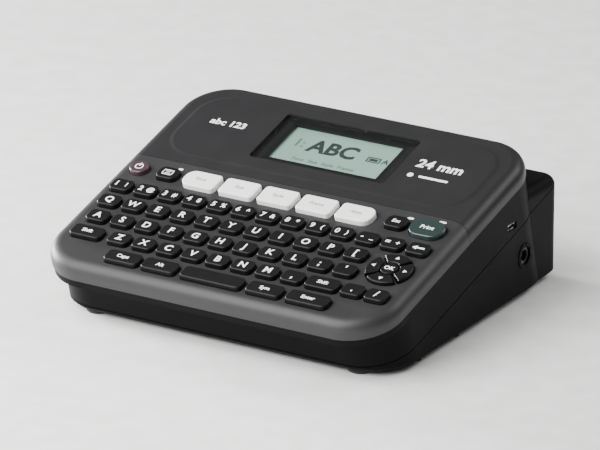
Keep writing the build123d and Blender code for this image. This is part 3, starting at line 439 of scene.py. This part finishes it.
def bake_place(obj, matrix):
    """Moves the object by a matrix and leaves its place in its mesh."""
    pick(obj)
    obj.matrix_world = matrix @ obj.matrix_world
    bpy.ops.object.transform_apply(location=True, rotation=True, scale=True)
    return obj


def close_mesh(obj):
    """Merges doubled points and turns the faces outwards."""
    pick(obj)
    bpy.ops.object.mode_set(mode="EDIT")
    bpy.ops.mesh.select_all(action="SELECT")
    bpy.ops.mesh.remove_doubles(threshold=1e-6)
    bpy.ops.mesh.normals_make_consistent(inside=False)
    bpy.ops.object.mode_set(mode="OBJECT")
    return obj


def thicken(obj, thickness):
    """Gives a flat sheet its thickness, outwards from where it lies."""
    pick(obj)
    modifier = obj.modifiers.new("thickness", "SOLIDIFY")
    modifier.thickness = thickness
    modifier.offset = 1.0
    bpy.ops.object.modifier_apply(modifier=modifier.name)
    return obj


def finish_piece(obj, body, material):
    """Gives a finished piece its material and the body it rides on."""
    obj.data.materials.clear()
    obj.data.materials.append(material)
    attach(obj, body)
    return obj


def lettering(text, height, matrix, thickness, weight=0.03):
    """Flat printed letters of this capital height, centred on the matrix; weight thickens their strokes."""
    deselect()
    bpy.ops.object.text_add()
    obj = bpy.context.object
    obj.data.body = text
    obj.data.size = height / 0.70
    obj.data.align_x = "CENTER"
    obj.data.align_y = "CENTER"
    obj.data.extrude = thickness / 2
    obj.data.offset = weight * height
    obj.data.resolution_u = 3
    pick(obj)
    bpy.ops.object.convert(target="MESH")
    bake_place(obj, matrix)
    return close_mesh(obj)


def plate(width, length, corner, thickness, matrix, segments=5):
    """A rounded plate that stands this thick on its matrix's plane."""
    deselect()
    bpy.ops.mesh.primitive_plane_add(size=1)
    obj = bpy.context.object
    obj.scale = (width, length, 1)
    bpy.ops.object.transform_apply(scale=True)
    bpy.ops.object.mode_set(mode="EDIT")
    bpy.ops.mesh.select_all(action="SELECT")
    if corner > 0:
        bpy.ops.mesh.bevel(offset=corner, segments=segments, affect="VERTICES")
    bpy.ops.object.mode_set(mode="OBJECT")
    thicken(obj, thickness)
    return bake_place(obj, matrix)


def ring_plate(width, length, corner, line, thickness, matrix, squeeze=1.0):
    """A rounded frame of this line width; squeeze narrows its opening along X."""
    deselect()
    bpy.ops.mesh.primitive_plane_add(size=1)
    obj = bpy.context.object
    obj.scale = (width, length, 1)
    bpy.ops.object.transform_apply(scale=True)
    bpy.ops.object.mode_set(mode="EDIT")
    bpy.ops.mesh.select_all(action="SELECT")
    bpy.ops.mesh.bevel(offset=corner, segments=5, affect="VERTICES")
    bpy.ops.mesh.select_all(action="SELECT")
    bpy.ops.mesh.inset(thickness=line, depth=0)
    bpy.ops.transform.resize(value=(squeeze, 1, 1), center_override=(0, 0, 0))
    bpy.ops.mesh.delete(type="FACE")
    bpy.ops.object.mode_set(mode="OBJECT")
    thicken(obj, thickness)
    return bake_place(obj, matrix)


def plateau(width, length, corner, slope, rise, matrix):
    """A rounded plate whose edge slopes up to its top, with its skirt sunk into what it lies on."""
    deselect()
    bpy.ops.mesh.primitive_plane_add(size=1)
    obj = bpy.context.object
    obj.scale = (width, length, 1)
    bpy.ops.object.transform_apply(scale=True)
    bpy.ops.object.mode_set(mode="EDIT")
    bpy.ops.mesh.select_all(action="SELECT")
    bpy.ops.mesh.bevel(offset=corner, segments=10, affect="VERTICES")
    bpy.ops.mesh.select_all(action="SELECT")
    for share in (0.3, 0.45, 0.25):
        bpy.ops.mesh.inset(thickness=slope / 3, depth=share * rise)
    bpy.ops.object.mode_set(mode="OBJECT")
    pick(obj)
    modifier = obj.modifiers.new("thickness", "SOLIDIFY")
    modifier.thickness = rise
    modifier.offset = -1.0
    bpy.ops.object.modifier_apply(modifier=modifier.name)
    return bake_place(obj, matrix)


def cut(obj, cutter):
    """Cuts the second piece's shape out of the first."""
    pick(obj)
    modifier = obj.modifiers.new("cut", "BOOLEAN")
    modifier.operation = "DIFFERENCE"
    modifier.object = cutter
    bpy.ops.object.modifier_apply(modifier=modifier.name)
    bpy.data.objects.remove(cutter)
    return obj


def soften(obj, radius, segments=2):
    """Rounds the sharp edges of a small piece."""
    pick(obj)
    modifier = obj.modifiers.new("rounding", "BEVEL")
    modifier.width = radius
    modifier.segments = segments
    modifier.limit_method = "ANGLE"
    bpy.ops.object.modifier_apply(modifier=modifier.name)
    return obj


def arrowhead(size, angle, thickness, matrix):
    """A small solid triangle that points along this angle of its plane."""
    deselect()
    bpy.ops.mesh.primitive_circle_add(vertices=3, radius=size, fill_type="NGON")
    obj = bpy.context.object
    obj.rotation_euler = (0, 0, angle - math.pi / 2)
    bpy.ops.object.transform_apply(rotation=True)
    thicken(obj, thickness)
    return bake_place(obj, matrix)


def key_tops(node):
    """Flat tops of a node's keys, from left to right: (across, uphill, height, width, length) in metres."""
    mesh = frame["nodes"][node].data
    points = [(ACROSS.dot(v.co), UPHILL.dot(v.co), OUTWARD.dot(v.co) - FACE_LEVEL) for v in mesh.vertices]
    height = max(point[2] for point in points)
    level = [p for p in mesh.polygons if all(points[i][2] > height - 0.02 * MM for i in p.vertices)]
    islands = []
    for polygon in level:
        corners = {tuple(round(c, 6) for c in points[i][:2]) for i in polygon.vertices}
        touching = [island for island in islands if island & corners]
        for island in touching:
            islands.remove(island)
            corners |= island
        islands.append(corners)
    tops = []
    for island in islands:
        across, uphill = [sorted(point[axis] for point in island) for axis in (0, 1)]
        middle = ((across[0] + across[-1]) / 2, (uphill[0] + uphill[-1]) / 2)
        tops.append((*middle, height, across[-1] - across[0], uphill[-1] - uphill[0]))
    return sorted(tops)


# ---------------------------------------------------------------- operators
class LABELMAKER_OT_finish_parts(bpy.types.Operator):
    """Give every CAD part the finish of its material slot"""

    bl_idname = "labelmaker.finish_parts"
    bl_label = "Finish the Parts"

    def execute(self, context):
        made = finishes()
        for name, obj in frame["nodes"].items():
            slots = [slot.material.name for slot in obj.material_slots]
            for index, slot in enumerate(slots):
                obj.material_slots[index].material = made[slot.split(".")[0]]
        return {"FINISHED"}


def material_of(node):
    """The finish that a CAD part already has."""
    return frame["nodes"][node].material_slots[0].material


def printed_ink():
    """Pad-printed ink: opaque, a little glossy, with a faintly uneven film."""
    known = bpy.data.materials.get("pad_printed_ink")
    return known or moulded("pad_printed_ink", colours().ink, 0.42, grain=0.5, depth=0.003, spread=0.02)


def grey_ink():
    """Grey pad-printed ink of the white keys."""
    known = bpy.data.materials.get("pad_printed_grey_ink")
    return known or moulded("pad_printed_grey_ink", linear("8a8c8e"), 0.42, grain=0.5, depth=0.003)


LETTER_ROWS = {
    "upper_letter_keys": "QWERTYUIOP[",
    "home_letter_keys": "ASDFGHJKL;'",
}
LOWER_ROW = ["Shift", *"ZXCVBNM,", "Shift", ".", "/"]
COMMAND_ROW = ["Caps", "Alt", "Sym", "Enter"]
FIGURES = ["1!", "2@", "3#", "4$", "5%", "6^", "7&", "8*", "9(", "0)", "-_", "=+"]
FUNCTION_WORDS = ["Font", "Size", "Style", "Frame", "Align"]


class LABELMAKER_OT_key_legends(bpy.types.Operator):
    """Print the letters, figures and words on the letter keys"""

    bl_idname = "labelmaker.key_legends"
    bl_label = "Print the Key Legends"

    def execute(self, context):
        size = sizes()
        ink = size.ink
        for node, letters in LETTER_ROWS.items():
            prints = [
                lettering(letter, size.letter, on_face(x, v, h + 0.3 * ink), ink)
                for letter, (x, v, h, _, _) in zip(letters, key_tops(node))
            ]
            self.hand_over(node, prints)
        for node, words in (("lower_letter_keys", LOWER_ROW), ("command_keys", COMMAND_ROW)):
            prints = []
            for word, (x, v, h, _, _) in zip(words, key_tops(node)):
                height = size.letter if len(word) == 1 else size.word
                prints.append(lettering(word, height, on_face(x, v, h + 0.3 * ink), ink))
            self.hand_over(node, prints)
        self.figure_row(size)
        return {"FINISHED"}

    def figure_row(self, size):
        """Each number key has its figure at the left and its sign at the right; the last one has an arrow."""
        prints = []
        tops = key_tops("number_keys")
        for pair, (x, v, h, width, _) in zip(FIGURES, tops):
            side = 0.27 * width
            lift = h + 0.3 * size.ink
            prints.append(lettering(pair[0], size.figure, on_face(x - side, v, lift), size.ink))
            prints.append(lettering(pair[1], 0.85 * size.figure, on_face(x + side, v, lift), size.ink))
        x, v, h, width, _ = tops[-1]
        base = h - 0.2 * size.ink
        prints.append(arrowhead(1.7 * MM, math.pi, size.ink, on_face(x - 1.5 * MM, v, base)))
        prints.append(plate(4.4 * MM, 1.1 * MM, 0, size.ink, on_face(x + 1.2 * MM, v, base)))
        self.hand_over("number_keys", prints)

    def hand_over(self, node, prints):
        """Joins one node's prints and lets them ride on its body."""
        finish_piece(join(node + "_legends", prints), node, printed_ink())


class LABELMAKER_OT_round_key_legends(bpy.types.Operator):
    """Print the signs on the power, preview, escape, print, cursor and function keys"""

    bl_idname = "labelmaker.round_key_legends"
    bl_label = "Print the Signs"

    def execute(self, context):
        ink = sizes().ink
        self.words(ink)
        self.cursor_signs(ink)
        self.power_sign(ink)
        self.preview_sign(ink)
        return {"FINISHED"}

    def words(self, ink):
        """Words on the single keys."""
        plain = {"escape_key": ("Esc", 2.3), "print_key": ("Print", 2.6), "ok_key": ("OK", 2.5)}
        for node, (word, height) in plain.items():
            x, v, h, _, _ = key_tops(node)[0]
            legend = lettering(word, height * MM, on_face(x, v, h + 0.3 * ink), ink)
            finish_piece(join(node + "_legend", [legend]), node, printed_ink())
        for index, word in enumerate(FUNCTION_WORDS):
            node = f"function_key_{index + 1}"
            x, v, h, _, _ = key_tops(node)[0]
            legend = lettering(word, 2.2 * MM, on_face(x, v, h + 0.3 * ink), ink)
            finish_piece(join(node + "_legend", [legend]), node, grey_ink())

    def cursor_signs(self, ink):
        """A small triangle on each quarter of the cursor ring."""
        ok_x, ok_v, _, _, _ = key_tops("ok_key")[0]
        reach = 8.2 * MM
        for index, side in enumerate(("right", "up", "left", "down")):
            node = f"cursor_{side}_key"
            height = key_tops(node)[0][2]
            angle = index * math.pi / 2
            x, v = ok_x + reach * math.cos(angle), ok_v + reach * math.sin(angle)
            sign = arrowhead(1.3 * MM, angle, ink, on_face(x, v, height - 0.2 * ink))
            finish_piece(join(node + "_sign", [sign]), node, printed_ink())

    def power_sign(self, ink):
        """A closed ring, with a stroke from its middle up across its top."""
        x, v, h, _, _ = key_tops("power_key")[0]
        base = h - 0.2 * ink
        diameter = 4.4 * MM
        ring = ring_plate(diameter, diameter, 2.19 * MM, 0.55 * MM, ink, on_face(x, v, base))
        stroke = plate(0.6 * MM, 2.4 * MM, 0, ink * 1.3, on_face(x, v + 1.5 * MM, base))
        finish_piece(join("power_key_sign", [ring, stroke]), "power_key", printed_ink())

    def preview_sign(self, ink):
        """A label with two lines of print."""
        x, v, h, _, _ = key_tops("preview_key")[0]
        base = h - 0.2 * ink
        sheet = ring_plate(5.6 * MM, 4.0 * MM, 0.7 * MM, 0.5 * MM, ink, on_face(x, v, base))
        lines = [
            plate(2.8 * MM, 0.45 * MM, 0, ink, on_face(x, v + offset, base))
            for offset in (-0.7 * MM, 0.7 * MM)
        ]
        finish_piece(join("preview_key_sign", [sheet, *lines]), "preview_key", printed_ink())


class LABELMAKER_OT_face_prints(bpy.types.Operator):
    """Print the small signs above the keys and the two words on the display cover"""

    bl_idname = "labelmaker.face_prints"
    bl_label = "Print the Face"

    def execute(self, context):
        ink = sizes().ink
        base = -0.2 * ink
        marks = (("preview_key", 2.6, 2.5), ("escape_key", 3.2, 3.5), ("print_key", 4.0, 3.0))
        for node, width, shift in marks:
            x, v, _, _, length = key_tops(node)[0]
            place = on_face(x + shift * MM, v + length / 2 + 3.2 * MM, base)
            mark = plate(width * MM, 1.5 * MM, 0.74 * MM, ink, place)
            finish_piece(join(node + "_mark", [mark]), "casing", printed_ink())
        window_low, window_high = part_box("display_window")
        window_v = UPHILL.dot((window_low + window_high) / 2)
        raised = sizes().plateau
        upper, lower = window_v + 2 * MM, window_v - 8 * MM
        words = raised + 0.3 * ink
        left = lettering("abc 123", 4.4 * MM, on_face(-61 * MM, upper, words), ink, 0.045)
        finish_piece(join("sample_letters", [left]), "casing", printed_ink())
        right = [
            lettering("24 mm", 6.2 * MM, on_face(57 * MM, upper, words), ink, 0.04),
            plate(3.2 * MM, 3.2 * MM, 1.59 * MM, ink, on_face(46 * MM, lower, raised + base)),
            plate(16 * MM, 1.6 * MM, 0.79 * MM, ink, on_face(58.5 * MM, lower, raised + base)),
        ]
        finish_piece(join("tape_width_print", right), "casing", printed_ink())
        return {"FINISHED"}


class LABELMAKER_OT_display_plateau(bpy.types.Operator):
    """Raise the rounded area that frames the display"""

    bl_idname = "labelmaker.display_plateau"
    bl_label = "Raise the Plateau"

    def execute(self, context):
        size = sizes()
        window = frame["nodes"]["display_window"].data.vertices
        across = [ACROSS.dot(v.co) for v in window]
        uphill = [UPHILL.dot(v.co) for v in window]
        width, length = max(across) - min(across), max(uphill) - min(uphill)
        window_v = (max(uphill) + min(uphill)) / 2
        gap = 0.5 * MM
        place = on_face(0, window_v - 2 * MM)
        raised = plateau(168 * MM, 54 * MM, 18 * MM, size.plateau_slope, size.plateau, place)
        seat = plate(width + gap, length + gap, 2 * MM, 10 * MM, on_face(0, window_v, -5 * MM))
        cut(raised, seat)
        finish_piece(join("display_plateau", [raised]), "casing", material_of("display_cover"))
        return {"FINISHED"}


class LABELMAKER_OT_screen(bpy.types.Operator):
    """Print the window's border and show a label on the display"""

    bl_idname = "labelmaker.screen"
    bl_label = "Light the Screen"

    def execute(self, context):
        size = sizes()
        low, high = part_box("display_window")
        middle = (low + high) / 2
        v = UPHILL.dot(middle)
        glass = [OUTWARD.dot(p.co) - FACE_LEVEL for p in frame["nodes"]["lcd_panel"].data.vertices]
        window = [OUTWARD.dot(p.co) - FACE_LEVEL for p in frame["nodes"]["display_window"].data.vertices]
        long = [UPHILL.dot(p.co) for p in frame["nodes"]["display_window"].data.vertices]
        self.border(size, v, high.x - low.x, max(long) - min(long), min(window))
        self.segments(v, max(glass))
        return {"FINISHED"}

    def border(self, size, v, width, length, underside):
        """A dark border printed on the back of the window, with a blacker line round its opening."""
        film, line, rim, clearance = 0.06 * MM, 2.0 * MM, 0.2 * MM, 0.02 * MM
        line_side, line_edge = size.border_side - line, size.border_edge - line
        outer = moulded("screen_printed_dark_border", linear("141415"), 0.5, grain=0.6, depth=0.003)
        inner = moulded("screen_printed_black_line", linear("050506"), 0.5, grain=0.6, depth=0.003)
        bands = (
            ("window_border", rim, rim, line_side, line_edge, outer),
            ("window_border_line", line_side, line_edge, size.border_side, size.border_edge, inner),
        )
        for name, from_side, from_edge, to_side, to_edge, ink in bands:
            opening = width - 2 * to_side
            even_opening = width - 2 * from_side - 2 * (to_edge - from_edge)
            band = ring_plate(
                width - 2 * from_side,
                length - 2 * from_edge,
                1.2 * MM,
                to_edge - from_edge,
                film,
                on_face(0, v, underside - film - clearance),
                squeeze=opening / even_opening,
            )
            finish_piece(join(name, [band]), "casing", ink)

    def segments(self, v, level):
        """A line of text, a small counter and a tape sign, in the display's dark segments."""
        film = 0.06 * MM
        ink = moulded("dark_lcd_segments", colours().segments, 0.4, grain=0.7, depth=0.002)
        place = level + 0.3 * film
        sign_v = v + 1.5 * MM
        sign_place = on_face(20 * MM, sign_v, level)
        dark = [
            lettering("ABC", 9.5 * MM, on_face(-3 * MM, v + 2.5 * MM, place), film, 0.05),
            ring_plate(7.5 * MM, 4.2 * MM, 0.6 * MM, 0.7 * MM, film, sign_place),
            plate(4.6 * MM, 1.9 * MM, 0, film, sign_place),
            lettering("A", 3.6 * MM, on_face(26.5 * MM, sign_v, place), film),
        ]
        finish_piece(join("screen_text", dark), "casing", ink)
        pale_ink = moulded("faint_lcd_segments", linear("7d938a"), 0.4, grain=0.7, depth=0.002)
        pale = [
            lettering("1:", 6.0 * MM, on_face(-22 * MM, v + 3 * MM, place), film),
            lettering("Font  Size  Style  Frame", 2.5 * MM, on_face(-2 * MM, v - 9.5 * MM, place), film),
        ]
        finish_piece(join("screen_small_text", pale), "casing", pale_ink)


class LABELMAKER_OT_wall_details(bpy.types.Operator):
    """Add the bezels of the tape exit and the jack, and the ridges of the cutter lever"""

    bl_idname = "labelmaker.wall_details"
    bl_label = "Detail the Walls"

    def execute(self, context):
        rise = sizes().ridge
        self.exit_bezel(rise)
        self.jack_bezel(rise)
        self.lever_ridges(rise)
        return {"FINISHED"}

    def exit_bezel(self, rise):
        """A raised rim round the slot that the label leaves by, in line with the cutter blade."""
        low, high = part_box("cutter_blade")
        tape_low, tape_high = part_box("label_tape")
        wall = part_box("back_cover")[0].x
        middle = Vector((wall, (tape_low.y + tape_high.y) / 2, (low.z + high.z) / 2))
        place = facing(middle, Vector((0, -1, 0)), Vector((0, 0, 1)))
        rim = ring_plate(9.0 * MM, high.z - low.z + 6.5 * MM, 2.0 * MM, 1.5 * MM, rise, place)
        soften(rim, 0.2 * MM)
        finish_piece(join("tape_exit_bezel", [rim]), "casing", material_of("back_cover"))

    def jack_bezel(self, rise):
        """A raised ring round the power socket."""
        low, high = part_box("power_socket")
        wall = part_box("back_cover")[1].x
        width = 13.0 * MM
        barrel_drop = 5.5 * MM
        middle = Vector((wall, (low.y + high.y) / 2, high.z - barrel_drop))
        place = facing(middle, Vector((0, 1, 0)), Vector((0, 0, 1)))
        ring = ring_plate(width, width, 6.49 * MM, 1.9 * MM, rise, place)
        soften(ring, 0.2 * MM)
        finish_piece(join("power_socket_bezel", [ring]), "casing", material_of("back_cover"))

    def lever_ridges(self, rise):
        """Upright ridges where the thumb presses the cutter lever."""
        low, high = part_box("cutter_lever")
        count, first, pitch = 5, 3.0, 2.6
        ridges = []
        for index in range(count):
            y = low.y + (first + pitch * index) * MM
            middle = Vector((low.x, y, (low.z + high.z) / 2))
            place = facing(middle, Vector((0, -1, 0)), Vector((0, 0, 1)))
            ridges.append(plate(1.1 * MM, high.z - low.z - 3.0 * MM, 0.5 * MM, 0.9 * rise, place))
        ridge = soften(join("cutter_lever_ridges", ridges), 0.15 * MM)
        finish_piece(ridge, "cutter_lever", material_of("cutter_lever"))


class LABELMAKER_OT_underside_details(bpy.types.Operator):
    """Add the arrows of the two doors and the bare plate of the underside"""

    bl_idname = "labelmaker.underside_details"
    bl_label = "Detail the Underside"

    def execute(self, context):
        rise = 0.3 * MM
        across, forward = Vector((1, 0, 0)), Vector((0, -1, 0))
        low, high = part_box("battery_cover")
        tip = facing(Vector(((low.x + high.x) / 2, low.y + 14 * MM, low.z)), across, forward)
        arrow = soften(arrowhead(4.0 * MM, math.pi / 2, rise, tip), 0.1 * MM)
        black = material_of("battery_cover")
        finish_piece(join("battery_cover_arrow", [arrow]), "battery_cover", black)
        low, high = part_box("cassette_cover")
        tip = facing(Vector(((low.x + high.x) / 2, high.y - 13 * MM, low.z)), across, forward)
        arrow = soften(arrowhead(3.0 * MM, -math.pi / 2, rise, tip), 0.1 * MM)
        black = material_of("cassette_cover")
        finish_piece(join("cassette_cover_arrow", [arrow]), "cassette_cover", black)
        free_x = (high.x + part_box("casing_screws")[1].x) / 2
        place = facing(Vector((free_x, (low.y + high.y) / 2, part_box("back_cover")[0].z)), across, forward)
        sticker = plate(48 * MM, 30 * MM, 1.5 * MM, 0.12 * MM, place)
        film = moulded("matt_silver_polyester_film", linear("a9abad"), 0.45, grain=0.8, depth=0.003)
        finish_piece(join("bare_plate", [sticker]), "casing", film)
        return {"FINISHED"}


class LABELMAKER_OT_stage(bpy.types.Operator):
    """Set the pale floor, the soft lights and the camera"""

    bl_idname = "labelmaker.stage"
    bl_label = "Set the Stage"

    def execute(self, context):
        self.floor()
        self.world()
        low, high = CAD_BOX
        middle = (low + high) / 2
        self.softbox("key_light", middle + Vector((-0.34, -0.56, 0.56)), middle, 0.88, 26.0)
        self.softbox("fill_light", middle + Vector((0.5, -1.6, 1.1)), middle, 1.0, 3.0)
        self.softbox("side_light", middle + Vector((-1.5, 0.2, 0.14)), middle, 0.5, 90.0)
        self.softbox("back_light", middle + Vector((0.9, 1.2, 1.3)), middle, 1.0, 18.0)
        self.camera(middle)
        return {"FINISHED"}

    def floor(self):
        """A wide pale floor that the feet stand on."""
        deselect()
        bpy.ops.mesh.primitive_plane_add(size=8)
        floor = bpy.context.object
        floor.name = "studio_floor"
        floor.data.materials.append(moulded("matt_paper_floor", linear("efefed"), 0.8, grain=2.0, depth=0.02))

    def world(self):
        """Even pale light from all round."""
        world = bpy.data.worlds.new("studio_light")
        bpy.context.scene.world = world
        world.use_nodes = True
        background = world.node_tree.nodes["Background"]
        background.inputs["Color"].default_value = linear("f4f4f4")
        background.inputs["Strength"].default_value = 0.24

    def softbox(self, name, place, target, size, power):
        """A square area light that faces the object."""
        light = bpy.data.lights.new(name, "AREA")
        light.size = size
        light.energy = power
        lamp = bpy.data.objects.new(name, light)
        bpy.context.scene.collection.objects.link(lamp)
        lamp.location = place
        lamp.rotation_euler = (target - place).to_track_quat("-Z", "Y").to_euler()

    def camera(self, middle):
        """A long lens from the front right, a little above."""
        data = bpy.data.cameras.new("camera")
        camera = bpy.data.objects.new("camera", data)
        bpy.context.scene.collection.objects.link(camera)
        azimuth, elevation = math.radians(31.2), math.radians(20.9)
        distance = 2.65
        back = Vector(
            (
                math.sin(azimuth) * math.cos(elevation),
                -math.cos(azimuth) * math.cos(elevation),
                math.sin(elevation),
            )
        )
        camera.location = middle + back * distance
        camera.rotation_euler = (-back).to_track_quat("-Z", "Y").to_euler()
        data.lens = 335.0
        data.sensor_width = 36.0
        data.clip_start, data.clip_end = 0.05, 50.0
        bpy.context.scene.camera = camera


class LABELMAKER_PT_panel(bpy.types.Panel):
    """Lists the label maker's operators and settings."""

    bl_label = "Label Maker"
    bl_idname = "LABELMAKER_PT_panel"
    bl_space_type = "VIEW_3D"
    bl_region_type = "UI"
    bl_category = "Label Maker"

    def draw(self, context):
        for operator in OPERATORS:
            self.layout.operator(operator.bl_idname)
        for group in (context.scene.label_maker_colours, context.scene.label_maker_sizes):
            for name in group.bl_rna.properties.keys():
                if name not in ("rna_type", "name"):
                    self.layout.prop(group, name)


OPERATORS = (
    LABELMAKER_OT_finish_parts,
    LABELMAKER_OT_display_plateau,
    LABELMAKER_OT_screen,
    LABELMAKER_OT_face_prints,
    LABELMAKER_OT_key_legends,
    LABELMAKER_OT_round_key_legends,
    LABELMAKER_OT_wall_details,
    LABELMAKER_OT_underside_details,
    LABELMAKER_OT_stage,
)
CLASSES = (LabelMakerColours, LabelMakerSizes, *OPERATORS, LABELMAKER_PT_panel)


def register():
    """Registers the settings, the operators and the panel."""
    for cls in CLASSES:
        bpy.utils.register_class(cls)
    bpy.types.Scene.label_maker_colours = bpy.props.PointerProperty(type=LabelMakerColours)
    bpy.types.Scene.label_maker_sizes = bpy.props.PointerProperty(type=LabelMakerSizes)


def unregister():
    """Removes them again."""
    del bpy.types.Scene.label_maker_sizes
    del bpy.types.Scene.label_maker_colours
    for cls in reversed(CLASSES):
        bpy.utils.unregister_class(cls)


def main():
    """Builds everything in order."""
    register()
    bpy.ops.labelmaker.finish_parts()
    bpy.ops.labelmaker.display_plateau()
    bpy.ops.labelmaker.screen()
    bpy.ops.labelmaker.face_prints()
    bpy.ops.labelmaker.key_legends()
    bpy.ops.labelmaker.round_key_legends()
    bpy.ops.labelmaker.wall_details()
    bpy.ops.labelmaker.underside_details()
    bpy.ops.labelmaker.stage()


if __name__ == "__main__":
    main()
